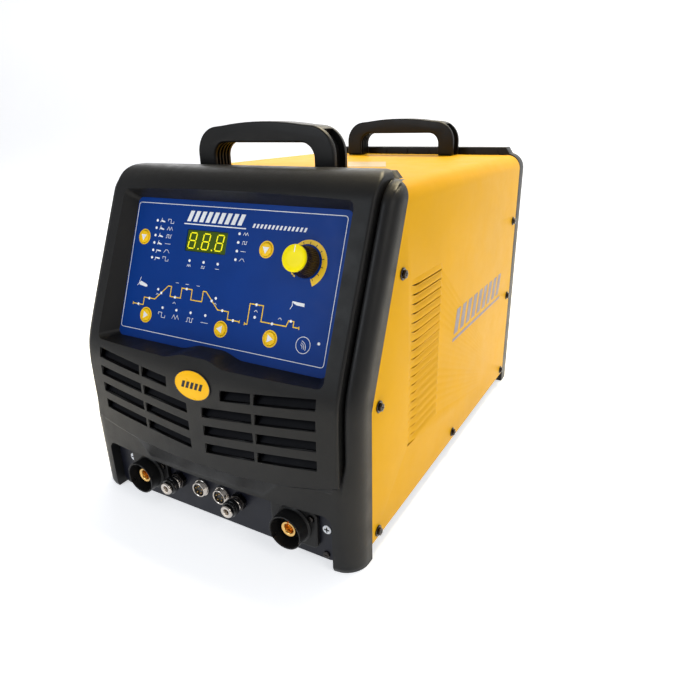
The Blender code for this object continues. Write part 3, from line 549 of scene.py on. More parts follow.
def build_front_bezel():
    rows = levels(
        0.0, RAIL_TOP, (0.0, 0.006, 5), (0.006, 0.078, 4), (0.078, 0.122, 16), (0.122, CUT_KNEE, 3),
        (CUT_KNEE, 0.190, 12), (0.190, 0.310, 8), (0.310, 0.330, 10), (0.330, RAIL_TOP, 6),
    )
    bezel = loft("front_bezel_shell", [base_section(h) for h in rows], BLACK)
    rows = levels(
        0.060, HOOD_TOP, (0.060, 0.150, 4), (0.150, 0.190, 14), (0.190, 0.318, 6), (0.318, 0.336, 10),
        (0.336, HOOD_TOP, 8),
    )
    hood = loft("hood", [hood_section(h) for h in rows])
    smile = [(0.150 * (s / 16 - 1), 0.0747 + 0.0172 * abs(s / 16 - 1) ** 2.4) for s in range(33)]
    below = smile + [(0.17, 0.0747 + 0.0172), (0.17, 0.02), (-0.17, 0.02), (-0.17, 0.0747 + 0.0172)]
    boolean(hood, prism("below_hood", below, COVER_FRONT - 0.1, COVER_FRONT + 0.1, axis="Y"))
    bake(hood)
    boolean(bezel, hood, "UNION")
    low = OPENING_TOP + WALL
    inner = levels(low, HOOD_TOP - WALL, (0.100, 0.330, 12))
    boolean(bezel, loft("hollow", [hood_section(h, WALL, 0.03) for h in inner]))
    well = window_prism("well", (0.0004, 0.012, 0.024, 0.045), 0.003)
    rows = levels(
        0.100, HOOD_TOP, (0.150, 0.190, 14), (0.190, 0.318, 6), (0.318, 0.336, 10), (0.336, HOOD_TOP, 8),
    )
    boolean(well, loft("well_trim", [hood_section(h, 0.0002) for h in rows]), "INTERSECT")
    bake(well)
    boolean(bezel, well, "UNION")
    boolean(bezel, window_prism("window", (-0.002, 0.012, 0.024, 0.050)))
    shape = bmesh.new()
    turn = Matrix.Translation((0.0, COVER_FRONT, 0.0)) @ Matrix.Rotation(math.pi / 2, 4, "X")
    for side, row, near, far in slot_spans():
        quad = []
        for across, lift in ((near, -1), (far, -1), (far, 1), (near, 1)):
            quad.append((side * across, slot_middle(row, across) + lift * SLOT_HEIGHT / 2))
        add_prism(shape, quad, 0.012, 0.060, turn)
    boolean(bezel, link_mesh("slots", shape, None))
    arch = round_rect(LEG_INNER, OPENING_TOP, 0.009, 8)
    boolean(bezel, prism("arch", arch, COVER_FRONT - 0.1, COVER_FRONT + 0.1, axis="Y"))
    bevel(bezel, 0.0007, 2, 50.0)
    bake(bezel, 40.0)
    piece(bezel, "black_plastic", "front_bezel")

    shape = bmesh.new()
    blade = ((-SLOT_HEIGHT / 2 - 0.0006, WALL - 0.0002), (SLOT_HEIGHT / 2 + 0.002, WALL + 0.0115))
    for side, row, near, far in slot_spans():
        corners = []
        for across in (near - 0.001, far + 0.001):
            z = slot_middle(row, across)
            for lift, back in blade:
                y = COVER_FRONT + face_y(across, z) + back
                corners.append(Vector((side * across, y, z + lift)))
        a, b, c, d = corners[0], corners[2], corners[3], corners[1]
        thick = Vector((0.0, 0.0012, -0.0010))
        front = [shape.verts.new(p) for p in (a, b, c, d)]
        join_rings(shape, [front, [shape.verts.new(p + thick) for p in (a, b, c, d)]])
    # painted shade: a dark plate behind the whole grille, seen through the slots in place of the shadowed
    # inside
    add_box(shape, (-0.138, COVER_FRONT - 0.0150, 0.088), (0.138, COVER_FRONT - 0.0138, 0.1685))
    piece(link_mesh("grille_blades", shape, BLADE_BLACK_PAINTED_SHADE), "black_plastic")


# ---- cover ----
LOUVRE_COUNT, LOUVRE_TOP, LOUVRE_PITCH, LOUVRE_HEIGHT = 19, 0.2425, 0.00895, 0.0026
LOUVRE_NEAR, LOUVRE_FAR = COVER_FRONT + 0.077, COVER_FRONT + 0.153
LOUVRE_BULGE = 0.0021


def cover_outline(half, low, top, radius, steps=14):
    points = [(-half, low)]
    for step in range(steps + 1):
        turn = math.pi - math.pi / 2 * step / steps
        points.append((-half + radius + radius * math.cos(turn), top - radius + radius * math.sin(turn)))
    for step in range(steps + 1):
        turn = math.pi / 2 - math.pi / 2 * step / steps
        points.append((half - radius + radius * math.cos(turn), top - radius + radius * math.sin(turn)))
    points.append((half, low))
    return points


def louvre_heights():
    return [LOUVRE_TOP - number * LOUVRE_PITCH for number in range(LOUVRE_COUNT)]


def add_louvre(shape, side, height):
    """One pressed louvre: flush at its top and front, and standing out to a lip over its slit."""
    across, down, thick = 22, 6, 0.0011
    layers = []
    for inward in (0.0, thick):
        grid = []
        for i in range(across + 1):
            y = LOUVRE_NEAR - 0.004 + (LOUVRE_FAR - LOUVRE_NEAR + 0.0052) * i / across
            rise = smooth(y, LOUVRE_NEAR - 0.004, LOUVRE_NEAR + 0.020)
            reach = rise * (1 - smooth(y, LOUVRE_FAR, LOUVRE_FAR + 0.0012))
            line = []
            for j in range(down + 1):
                t = j / down
                open_up = smooth(y, LOUVRE_NEAR - 0.001, LOUVRE_NEAR + 0.014)
                start = height + LOUVRE_PITCH - (LOUVRE_HEIGHT + 0.0002) * open_up
                x = HALF_WIDTH - 0.0003 + LOUVRE_BULGE * reach * math.sin(t * math.pi / 2) ** 1.4 - inward
                line.append(shape.verts.new((side * x, y, start + (height - start) * t)))
            grid.append(line)
        layers.append(grid)
    join_sheets(shape, layers)


def build_cover():
    outer = cover_outline(HALF_WIDTH, COVER_BOTTOM, COVER_TOP, COVER_RADIUS)
    inner = cover_outline(HALF_WIDTH - SHEET, COVER_BOTTOM, COVER_TOP - SHEET, COVER_RADIUS - SHEET)
    cover = prism("cover_shell", outer + inner[::-1], COVER_FRONT + 0.0003, COVER_REAR, YELLOW, "Y")
    knee, top = CUT_KNEE, 0.36
    near = COVER_FRONT + 0.0003
    wedge = [
        (COVER_FRONT - 0.05, knee), (near, knee), (near + cut_edge(top), top), (COVER_FRONT - 0.05, top),
    ]
    boolean(cover, prism("lean", wedge, -0.2, 0.2, axis="X"))
    shape = bmesh.new()
    for height in louvre_heights():
        for side in (-1, 1):
            low, high = sorted((side * (HALF_WIDTH - 0.006), side * (HALF_WIDTH + 0.006)))
            add_box(shape, (low, LOUVRE_NEAR, height - LOUVRE_HEIGHT), (high, LOUVRE_FAR, height))
    boolean(cover, link_mesh("slits", shape, None))
    bevel(cover, 0.0004, 2, 50.0)
    piece(bake(cover, 30.0), "yellow_paint", "outer_cover")

    shape = bmesh.new()
    for side in (-1, 1):
        for height in louvre_heights():
            add_louvre(shape, side, height)
    piece(link_mesh("louvre_lips", shape, YELLOW, 50.0), "yellow_paint")

    shape = bmesh.new()
    corners = [Vector(p) for p in ((-0.004, 0.268), (0.042, 0.279), (0.076, 0.209), (0.035, 0.198))]
    add_prism(shape, [(p.x, COVER_FRONT + p.y) for p in corners], COVER_TOP - 0.0001, COVER_TOP + 0.0003)
    piece(bake(bevel(link_mesh("blank_plate", shape, PLATE_GREY), 0.0001, 1)), "nickel")


def slanted_bars(shape, left, right, low, high, count, matrix, lean=0.30, thick=0.0001, fill=0.62):
    """A plain row of equal slanted bars."""
    pitch = (right - left) / count
    shift = lean * (high - low)
    for number in range(count):
        start = left + pitch * number
        end = start + pitch * fill
        bar = [(start, low), (end, low), (end + shift, high), (start + shift, high)]
        add_prism(shape, bar, -thick, thick, matrix)


def build_side_band():
    shape = bmesh.new()
    for side in (-1, 1):
        place = Matrix.Translation((side * (HALF_WIDTH + 0.00005), 0.0, 0.0))
        upright = place @ Matrix.Rotation(math.pi / 2, 4, "Z") @ Matrix.Rotation(math.pi / 2, 4, "X")
        slanted_bars(
            shape, COVER_FRONT + 0.199, COVER_FRONT + 0.383, 0.1560, 0.1835, 9, upright, 0.30, 0.00008,
        )
        near, far = COVER_FRONT + 0.196, COVER_FRONT + 0.384
        underline = [(near, 0.1480), (far, 0.1480), (far + 0.0012, 0.1515), (near + 0.0012, 0.1515)]
        add_prism(shape, underline, -0.00008, 0.00008, upright)
    piece(link_mesh("side_band", shape, BAND_BLUE), "blue_film")


# ---- rear bezel and handles ----
def build_rear_bezel():
    low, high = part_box("rear_bezel")
    near = COVER_REAR + 0.0003
    far = high.y
    bezel = prism("rear_bezel_shell", cover_outline(HALF_WIDTH, 0.0, RAIL_TOP, 0.020), near, far, BLACK, "Y")
    hood = [
        (-HOOD_HALF, 0.250), (-HOOD_HALF, RAIL_TOP), (-HOOD_HALF + 0.005, HOOD_TOP),
        (HOOD_HALF - 0.005, HOOD_TOP), (HOOD_HALF, RAIL_TOP), (HOOD_HALF, 0.250),
    ]
    boolean(bezel, prism("rear_hood", hood, near, far, axis="Y"), "UNION")
    inside = round_rect(0.1480, (0.3150 - 0.0300) / 2, 0.012, 8, (0.0, (0.0300 + 0.3150) / 2))
    boolean(bezel, prism("rear_frame", inside, near - 0.03, far + 0.03, axis="Y"))
    legs = round_rect(LEG_INNER, 0.0140, 0.006, 6)
    boolean(bezel, prism("rear_legs", legs, near - 0.03, far + 0.03, axis="Y"))
    bevel(bezel, 0.0022, 4, 38.0)
    bake(bezel, 45.0)
    lip = HALF_WIDTH - SHEET - 0.0006
    outer = cover_outline(lip, 0.0180, COVER_TOP - SHEET - 0.0006, COVER_RADIUS - SHEET)
    inner = cover_outline(lip - 0.003, 0.0180, COVER_TOP - SHEET - 0.0036, COVER_RADIUS - SHEET - 0.003)
    tongue = prism("rear_tongue", outer + inner[::-1], low.y, near + 0.001, BLACK, "Y")
    boolean(bezel, tongue, "UNION")
    piece(bake(bezel, 45.0), "black_plastic", "rear_bezel")

    shape = bmesh.new()
    for number in range(9):
        x = (number - 4) * 0.0335
        add_box(
            shape, (x - 0.0005, near - 0.0012, COVER_TOP + 0.0004),
            (x + 0.0005, near + 0.001, HOOD_TOP - 0.0028),
        )
    for side in (-1, 1):
        for number in range(6):
            z = 0.070 + number * 0.040
            edges = sorted((side * 0.1460, side * 0.1485))
            add_box(shape, (edges[0], near + 0.002, z - 0.0008), (edges[1], far - 0.004, z + 0.0008))
    piece(bake(bevel(link_mesh("rear_bezel_ribs", shape, BLACK), 0.0003, 1)), "black_plastic")


HANDLE_HALF, HANDLE_HEIGHT, HANDLE_GAP, HANDLE_LEG, HANDLE_SHOULDER = 0.0808, 0.0480, 0.0290, 0.0215, 0.026
HANDLE_REACH, HANDLE_CORNER = HANDLE_HALF - HANDLE_LEG, 0.014


def arc(middle, radius, start, end, steps=14):
    turns = [math.radians(start + (end - start) * step / steps) for step in range(steps + 1)]
    return [(middle[0] + radius * math.cos(t), middle[1] + radius * math.sin(t)) for t in turns]


def handle_inside(grow=0.0):
    """Finger opening of a handle, open at its foot."""
    reach, top = HANDLE_REACH + grow, HANDLE_GAP + grow
    corner = HANDLE_CORNER + grow
    right = arc((reach - corner, top - corner), corner, 0, 90)
    left = arc((corner - reach, top - corner), corner, 90, 180)
    return [(reach, -0.001)] + right + left + [(-reach, -0.001)]


def build_handle(node):
    low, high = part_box(node)
    base = low.z
    crest = HANDLE_HEIGHT - 0.004
    right = arc((HANDLE_HALF - HANDLE_SHOULDER, crest - HANDLE_SHOULDER), HANDLE_SHOULDER, 0, 84)
    left = arc((HANDLE_SHOULDER - HANDLE_HALF, crest - HANDLE_SHOULDER), HANDLE_SHOULDER, 96, 180)
    across = [0.047 - 0.0094 * step for step in range(11)]
    crown = [(x, HANDLE_HEIGHT - 0.0041 * (x / 0.053) ** 2) for x in across]
    outline = [(HANDLE_HALF, 0.0)] + right + crown + left + [(-HANDLE_HALF, 0.0)]
    grip = prism(node + "_grip", [(x, base + z) for x, z in outline], low.y, high.y, HANDLE_BLACK, "Y")
    opening = [(x, base + z) for x, z in handle_inside()]
    boolean(grip, prism("fingers", opening, low.y - 0.01, high.y + 0.01, axis="Y"))
    bevel(grip, 0.0022, 4, 50.0)
    bake(grip, 40.0)
    wall = 0.0062
    for side in (-1, 1):
        inner = arc((HANDLE_HALF - HANDLE_SHOULDER, crest - HANDLE_SHOULDER), HANDLE_SHOULDER - wall, 0, 62)
        around = [(0.0735, 0.0500), (0.0900, 0.0500), (0.0900, -0.002)]
        channel = [(HANDLE_HALF - wall, -0.002)] + inner + around
        channel = [(side * x, base + z) for x, z in channel]
        boolean(grip, prism("channel", channel, low.y + 0.0050, high.y - 0.0050, axis="Y"))
    groove = [(x, base + z) for x, z in handle_inside(0.0028)]
    for number in range(4):
        start = low.y + 0.0040 + number * 0.0048
        boolean(grip, prism("groove", groove, start, start + 0.0034, axis="Y"))
    piece(bake(grip, 40.0), "black_plastic", node)


# ---- control panel ----
PRINT_LOW, PRINT_HIGH = -0.0002, 0.00012
DISPLAY = (-0.0534, -0.0027, 0.0201, 0.0413)
SCALE_RADIUS, SCALE_THIN, SCALE_GROWTH = 0.0158, 0.0012, 0.0052
SCALE_START, SCALE_SWEEP = 236, 300


def ribbon(shape, points, width, matrix, closed=False, low=PRINT_LOW, high=PRINT_HIGH):
    """A flat printed line of one width with mitred corners."""
    points = [Vector(p) for p in points]
    count = len(points)
    sides = []
    for index, point in enumerate(points):
        before = points[index - 1] if index or closed else None
        after = points[(index + 1) % count] if index < count - 1 or closed else None
        spans = [point - before if before else None, after - point if after else None]
        ways = [span.normalized() for span in spans if span]
        middle = sum(ways, Vector((0.0, 0.0))).normalized()
        across = Vector((-middle.y, middle.x))
        across *= width / 2 / max(0.5, across.dot(Vector((-ways[0].y, ways[0].x))))
        sides.append((point + across, point - across))
    rings = []
    for left, right in sides:
        ring = [
            (left.x, left.y, low), (right.x, right.y, low), (right.x, right.y, high), (left.x, left.y, high),
        ]
        rings.append([shape.verts.new(matrix @ Vector(p)) for p in ring])
    join_rings(shape, rings, closed)


def mm(*pairs):
    return [(x / 1000, y / 1000) for x, y in pairs]


# welding cycle drawn on the panel, left to right, as (across, up the slope) in millimetres
TIG_CYCLE = mm(
    (-111.6, -38.8), (-97.4, -38.8), (-97.4, -31.2), (-82.6, -31.2), (-67.0, -16.3), (-62.8, -16.3),
    (-62.8, -26.2), (-49.0, -26.2), (-49.0, -16.3), (-35.6, -16.3), (-35.6, -26.2), (-21.6, -26.2),
    (-21.6, -16.2), (-17.9, -16.2), (-1.0, -31.2), (12.2, -31.2), (12.2, -38.4), (26.4, -38.4),
)
MMA_CYCLE = mm(
    (32.4, -39.3), (35.4, -39.3), (35.4, -20.5), (50.3, -20.5), (50.3, -34.9), (77.6, -35.1), (79.4, -29.8),
    (84.9, -29.8), (84.9, -34.7), (91.0, -34.7),
)
LAMPS = mm(
    *[(-95.2, 47.1 - 7.48 * n) for n in range(6)], (-44.8, 11.1), (-26.9, 11.1), (-9.4, 11.1),
    *[(10.6, 41.3 - 8.0 * n) for n in range(4)],
    (-70.3, -38.4), (-51.7, -38.4), (-33.1, -38.4), (-14.5, -38.4),
    (-104.2, -38.8), (-90.1, -31.3), (-75.0, -24.1), (-56.2, -26.2), (-42.6, -16.4), (-9.6, -23.8),
    (4.8, -31.1), (18.9, -38.4), (-79.9, -21.1), (-5.2, -20.8), (42.7, -20.5), (62.6, -35.0), (81.8, -29.9),
    (42.8, -31.9), (113.3, -44.6),
)


def add_wave(shape, x, y, kind, at, size=1.0):
    """Small square, triangle or pulsed waveform beside a lamp."""
    waves = {
        0: ((-3, 0), (-3, 1.6), (0, 1.6), (0, -1.6), (3, -1.6), (3, 0)),
        1: ((-3, -1.2), (-1.5, 1.4), (0, -1.2), (1.5, 1.4), (3, -1.2)),
        2: ((-3, -1.3), (-2, -1.3), (-2, 1.3), (0, 1.3), (0, -1.3), (2, -1.3), (2, 1.3), (3, 1.3)),
        3: ((-3, 0), (3, 0)),
        4: ((-3, -1.2), (-1, 1.2), (1, 1.2), (3, -1.2)),
    }
    points = [(x + px * size / 1000, y + py * size / 1000) for px, py in waves[kind % 5]]
    ribbon(shape, points, 0.00042, at)


def add_torch(shape, x, y, at, size=1.0, flip=1):
    """Solid torch symbol: a slim handle with a short needle at its end."""
    s = size / 1000
    handle = [(-2.6, -0.2), (-1.2, 0.9), (3.2, -0.4), (4.0, -1.3), (3.0, -1.9), (-1.8, -1.2)]
    add_prism(shape, [(x + flip * px * s, y + py * s) for px, py in handle], PRINT_LOW, PRINT_HIGH, at)
    needle = [(-3.6, -1.8), (-2.6, -0.6), (-1.6, 3.0)]
    ribbon(shape, [(x + flip * px * s, y + py * s) for px, py in needle], 0.0005, at)


def add_holder(shape, x, y, at, size=1.0, flip=1):
    """Solid electrode holder symbol: a bar with a bent rod in its jaw."""
    s = size / 1000
    bar = [(-3.4, 1.0), (3.8, 0.6), (3.8, -1.0), (-0.4, -0.7), (-2.2, -0.2)]
    add_prism(shape, [(x + flip * px * s, y + py * s) for px, py in bar], PRINT_LOW, PRINT_HIGH, at)
    rod = [(-3.2, 0.6), (-3.0, -1.2), (-4.0, -3.0)]
    ribbon(shape, [(x + flip * px * s, y + py * s) for px, py in rod], 0.0006, at)


def clear_circle(shape, middle, radius, width, at, sides=32):
    ribbon(shape, circle(radius, sides, middle), width, at, True)


def build_panel():
    outline = [(x * 1.028, y * 1.05) for x, y in window_outline(0.0)]
    film = move(prism("control_panel", outline, -0.0025, 0.0, BLUE), on_fascia())
    shape = bmesh.new()
    for x, y, _ in BUTTONS.values():
        add_prism(shape, circle(0.0066, 40), -0.01, 0.01, on_fascia(x, y))
    add_prism(shape, circle(0.0045, 24), -0.01, 0.01, on_fascia(*KNOB_AT))
    left, right, low, high = DISPLAY
    add_box(shape, (left, low, -0.01), (right, high, 0.01), on_fascia())
    boolean(film, link_mesh("panel_holes", shape, None))
    piece(bake(film), "blue_film", "control_fascia")

    at = on_fascia()
    yellow = bmesh.new()
    for cycle in (TIG_CYCLE, MMA_CYCLE):
        ribbon(yellow, cycle, 0.00095, at)
    for x, y in (TIG_CYCLE[0], TIG_CYCLE[-1], MMA_CYCLE[0], MMA_CYCLE[-1]):
        ribbon(yellow, [(x, y - 0.0014), (x, y + 0.0014)], 0.0009, at)
    knob_x, knob_y = KNOB_AT
    inner, outer = [], []
    steps = 48
    for step in range(steps + 1):
        t = step / steps
        turn = math.radians(SCALE_START - SCALE_SWEEP * t)
        wide = SCALE_RADIUS + SCALE_THIN + SCALE_GROWTH * t
        inner.append((knob_x + SCALE_RADIUS * math.cos(turn), knob_y + SCALE_RADIUS * math.sin(turn)))
        outer.append((knob_x + wide * math.cos(turn), knob_y + wide * math.sin(turn)))
    for step in range(steps):
        quad = [inner[step], inner[step + 1], outer[step + 1], outer[step]]
        add_prism(yellow, quad, PRINT_LOW, PRINT_HIGH, at)
    piece(link_mesh("panel_yellow_print", yellow, LINE_YELLOW), "yellow_plastic")

    rings = bmesh.new()
    for x, y, _ in BUTTONS.values():
        clear_circle(rings, (x, y), 0.0072, 0.0013, at, 48)
    piece(link_mesh("button_surrounds", rings, BUTTON_YELLOW), "yellow_plastic")

    ticks = bmesh.new()
    for number in range(13):
        turn = Matrix.Rotation(math.radians(228 - 286 * number / 12), 4, "Z")
        add_box(
            ticks, (0.0159, -0.0003, 0.0), (0.0180, 0.0003, PRINT_HIGH * 1.6),
            on_fascia(knob_x, knob_y) @ turn,
        )
    piece(link_mesh("scale_ticks", ticks, DARK_PRINT), "black_plastic")

    white = bmesh.new()
    # the border is set to the left by about a millimetre, clear of the window's right wall
    ribbon(white, round_rect(0.12265, 0.0642, 0.0030, 4, (-0.00135, 0.0)), 0.0006, at, True)
    for row in range(6):
        y = 0.0471 - 0.00748 * row
        (add_torch if row < 4 else add_holder)(white, -0.0878, y, at, 0.85)
        add_wave(white, -0.0768, y, row, at, 1.25)
    for index, x in enumerate((-0.0448, -0.0269, -0.0094)):
        add_wave(white, x, 0.0062, index + 1, at, 0.8)
    for row in range(4):
        add_wave(white, 0.0180, 0.0413 - 0.0080 * row, row + 1, at, 1.0)
    for index, x in enumerate((-0.0703, -0.0517, -0.0331, -0.0145)):
        add_wave(white, x, -0.0455, index, at, 1.5)
    for x, y in (
        (-0.0800, -0.0262), (-0.0050, -0.0262), (0.0430, -0.0265), (0.0700, -0.0295), (-0.0560, -0.0320),
    ):
        add_wave(white, x, y, 4, at, 0.6)
    for x in (-0.0430, -0.0560, -0.0290):
        ribbon(white, [(x - 0.002, -0.0120), (x + 0.002, -0.0120)], 0.0004, at)
    add_torch(white, -0.1028, -0.0171, at, 1.9)
    add_holder(white, 0.0859, -0.0142, at, 1.8)
    clear_circle(white, (0.0979, -0.0484), 0.0072, 0.0005, at)
    for number in range(3):
        ribbon(white, arc((0.0950, -0.0506), 0.0024 + 0.0017 * number, -20, 80, 8), 0.00045, at)
    piece(link_mesh("panel_white_print", white, WHITE), "blue_film")

    title = bmesh.new()
    slanted_bars(title, -0.056, 0.014, 0.0488, 0.0592, 9, at, 0.35, PRINT_HIGH)
    ribbon(title, [(-0.0590, 0.0463), (0.0170, 0.0463)], 0.0010, at)
    slanted_bars(title, 0.024, 0.084, 0.0478, 0.0516, 14, at, 0.35, PRINT_HIGH, 0.50)
    piece(link_mesh("title_bars", title, WHITE), "blue_film")

    lamps = bmesh.new()
    lamp = [(0.0, -0.0002), (0.0014, -0.0002), (0.0013, 0.0003), (0.0008, 0.0006), (0.0, 0.0007)]
    for x, y in LAMPS:
        add_turned(lamps, lamp, 16, on_fascia(x, y))
    piece(link_mesh("indicator_lamps", lamps, LAMP_WHITE, 60.0), "lens")


def build_display():
    left, right, low, high = DISPLAY
    edge = 0.0005
    middle = ((left + right) / 2, (low + high) / 2)
    outline = round_rect((right - left) / 2 - edge, (high - low) / 2 - edge, 0.0006, 3, middle)
    face = move(prism("display_face", outline, -0.0022, -0.0007, DIGIT_OFF), on_fascia())
    piece(face, "lens", "display_lens")
    shape = bmesh.new()
    tall, wide, bar, lean = 0.0075, 0.0040, 0.0011, 0.12
    middle_y = (low + high) / 2
    for number in range(3):
        x = left + (right - left) * (number + 0.5) / 3 - 0.0006
        segments = []
        for level in (-1, 0, 1):
            segments.append(((-wide + bar * 0.6, level * tall), (wide - bar * 0.6, level * tall)))
        for side in (-1, 1):
            for level in (-1, 0):
                start, end = level * tall + bar * 0.6, (level + 1) * tall - bar * 0.6
                segments.append(((side * wide, start), (side * wide, end)))
        for start, end in segments:
            line = [(x + px + lean * py, middle_y + py) for px, py in (start, end)]
            ribbon(shape, line, bar, on_fascia(), False, -0.0008, -0.0004)
    for number in range(2):
        x = left + (right - left) * (number + 1) / 3 - 0.0006
        add_prism(shape, circle(0.0008, 12, (x, middle_y - tall)), -0.0008, -0.0004, on_fascia())
    piece(link_mesh("display_digits", shape, DIGIT), "lens")


def build_buttons():
    profile = [
        (0.0, -0.0090), (0.0030, -0.0090), (0.0030, -0.0036), (0.0060, -0.0032), (0.0062, -0.0028),
        (0.0062, 0.0004), (0.0060, 0.0008), (0.0056, 0.0011), (0.0050, 0.0012), (0.0030, 0.00115),
        (0.0, 0.0011),
    ]
    for name, (x, y, turn) in BUTTONS.items():
        cap = turned(name + "_cap", profile, BUTTON_YELLOW, on_fascia(x, y), 40)
        piece(cap, "yellow_plastic", name, body=name)
        mark = bmesh.new()
        corners = []
        for angle in (turn, turn + 120, turn + 240):
            corners.append((0.0041 * math.cos(math.radians(angle)), 0.0041 * math.sin(math.radians(angle))))
        add_prism(mark, corners, 0.0009, 0.00128, on_fascia(x, y))
        piece(link_mesh(name + "_mark", mark, WHITE), "blue_film", body=name)


def build_knob():
    at = on_fascia(*KNOB_AT)
    grip = [
        (0.0045, 0.0004, 0), (0.0130, 0.0006, 0), (0.0140, 0.0009, 0), (0.0141, 0.0016, 0),
        (0.0136, 0.0026, 0), (0.0133, 0.0034, 1), (0.0129, 0.0070, 1), (0.0125, 0.0110, 1),
        (0.0121, 0.0150, 1), (0.0117, 0.0160, 0), (0.0112, 0.0166, 0), (0.0105, 0.0168, 0),
    ]
    grip = loft("knob_grip", ribbed_rings(grip, at, 216, 36, 0.00055, 2), KNOB_BLACK, 50.0)
    piece(grip, "black_plastic", "knob_body", body="knob")
    shaft = [(0.0, -0.0080), (0.0030, -0.0080), (0.0030, 0.0005), (0.0, 0.0006)]
    shaft = turned("knob_shaft", shaft, DARK_STEEL, at, 24)
    piece(shaft, "steel", body="knob")
    cap = [
        (0.0, 0.0168), (0.0104, 0.0168), (0.0110, 0.0171), (0.0116, 0.0174), (0.0118, 0.0179),
        (0.0118, 0.0193), (0.0116, 0.0199), (0.0110, 0.0203), (0.0060, 0.02035), (0.0, 0.0204),
    ]
    piece(turned("knob_lid", cap, CAP_YELLOW, at, 72), "yellow_plastic", "knob_cap", body="knob")
    mark = bmesh.new()
    add_box(mark, (-0.0004, 0.0050, 0.0200), (0.0004, 0.0108, 0.02050), at)
    piece(bake(bevel(link_mesh("knob_pointer", mark, WHITE), 0.0001, 1)), "yellow_plastic", body="knob")


def ellipse(half_x, half_y, sides=72):
    turns = [2 * math.pi * step / sides for step in range(sides)]
    return [(half_x * math.cos(t), half_y * math.sin(t)) for t in turns]


BADGE_X, BADGE_Z = 0.0012, 0.1585
BADGE_HALF_X, BADGE_HALF_Z = 0.0213, 0.0139


def badge_point(across, up, out):
    """A point of the badge, which follows the face behind it."""
    y = COVER_FRONT + face_y(BADGE_X + across, BADGE_Z + up) - out
    return Vector((BADGE_X + across, y, BADGE_Z + up))


def badge_ring(grow, out):
    outline = ellipse(BADGE_HALF_X * grow, BADGE_HALF_Z * grow)
    return [badge_point(x, y, out) for x, y in outline]


def build_badge():
    rows = [
        (1.0, -0.0006), (1.0, 0.0006), (0.985, 0.0009), (0.955, 0.0009), (0.945, 0.0007), (0.7, 0.0008),
        (0.4, 0.0009), (0.12, 0.0009),
    ]
    plate = loft("badge_plate", [badge_ring(grow, out) for grow, out in rows], BADGE_YELLOW, 30.0)
    piece(plate, "yellow_plastic", "oval_badge")
    marks = bmesh.new()
    for number in range(5):
        left = -0.0130 + 0.0052 * number
        corners = [
            (left, -0.0030), (left + 0.0032, -0.0030), (left + 0.0054, 0.0034), (left + 0.0022, 0.0034),
        ]
        rings = [[marks.verts.new(badge_point(x, y, out)) for x, y in corners] for out in (0.0007, 0.0011)]
        join_rings(marks, rings)
    piece(link_mesh("badge_print", marks, DARK_PRINT), "black_plastic")
    rim = [
        badge_ring(grow, out)
        for grow, out in ((1.012, -0.0006), (1.012, 0.0010), (0.972, 0.0010), (0.972, -0.0006))
    ]
    piece(loft("badge_rim", rim, BLACK_SMOOTH, 35.0, True), "black_plastic")


# ---- front connectors ----
SEAT_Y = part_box("connector_panel")[0].y - 0.0003
CONNECTOR_Z = 0.033
DINSE_X, COUPLING_X, SOCKET_X = (-0.0885, 0.0965), (-0.050, 0.0295), (-0.0190, 0.0080)


def hexagon(radius, turn=0.0):
    turns = [turn + k * math.pi / 3 for k in range(6)]
    return [(radius * math.cos(t), radius * math.sin(t)) for t in turns]


def build_dinse(label, x):
    at = facing_front(x, SEAT_Y, CONNECTOR_Z)
    plate = round_rect(0.0258, 0.0198, 0.006, 8)
    flange = move(prism("dinse_flange_" + label, plate, 0.0, 0.0045, BLACK), at)
    bevel(flange, 0.0009, 3, 50.0)
    bake(flange)
    wall = [
        (0.0150, 0.0020), (0.0192, 0.0030), (0.0192, 0.0056), (0.0180, 0.0064), (0.0174, 0.0072),
        (0.0174, 0.0172), (0.0172, 0.0184), (0.0174, 0.0190), (0.0173, 0.0196), (0.0168, 0.0200),
        (0.0161, 0.0199), (0.0157, 0.0194), (0.0154, 0.0120), (0.0150, 0.0110),
    ]
    boolean(flange, turned("cup", wall, BLACK, at, 72), "UNION")
    bore = [(0.0, -0.01), (0.0087, -0.01), (0.0087, 0.03), (0.0, 0.03)]
    boolean(flange, turned("bore", bore, None, at, 48))
    bolt_seat = [(0.0, 0.0030), (0.0040, 0.0030), (0.0040, 0.01), (0.0, 0.01)]
    for side in (-1, 1):
        seat = at @ Matrix.Translation((side * 0.0195, side * 0.0125, 0.0))
        boolean(flange, turned("bolt_seat", bolt_seat, None, seat, 32))
    for turn_deg in (0, 120, 240):
        notch = bmesh.new()
        spin = at @ Matrix.Rotation(math.radians(90 + turn_deg), 4, "Z")
        add_box(notch, (0.0152, -0.0020, 0.0150), (0.0166, 0.0020, 0.0204), spin)
        boolean(flange, link_mesh("key", notch, None))
    piece(bake(flange, 35.0), "black_plastic", "dinse_body_" + label)

    contact = [
        (0.0, -0.0220), (0.0050, -0.0220), (0.0050, -0.0062), (0.0083, -0.0060), (0.0083, 0.0040),
        (0.0080, 0.0044), (0.0080, 0.0122), (0.0079, 0.0130), (0.0075, 0.0135), (0.0060, 0.0135),
        (0.0052, 0.0131), (0.0047, 0.0124), (0.0046, 0.0058), (0.0, 0.0056),
    ]
    pin = turned("dinse_pin_" + label, contact, BRASS, at, 56)
    cut = bmesh.new()
    add_box(cut, (-0.0006, 0.0030, 0.0075), (0.0006, 0.0095, 0.0140), at)
    boolean(pin, link_mesh("pin_slot", cut, None))
    piece(bake(pin), "brass", "dinse_contact_" + label)

    bolts = bmesh.new()
    for side in (-1, 1):
        seat = at @ Matrix.Translation((side * 0.0195, side * 0.0125, 0.0))
        add_prism(bolts, hexagon(0.0031, 0.3), 0.0031, 0.0062, seat)
    piece(bake(bevel(link_mesh("flange_bolts_" + label, bolts, DARK_STEEL), 0.0004, 2)), "steel")


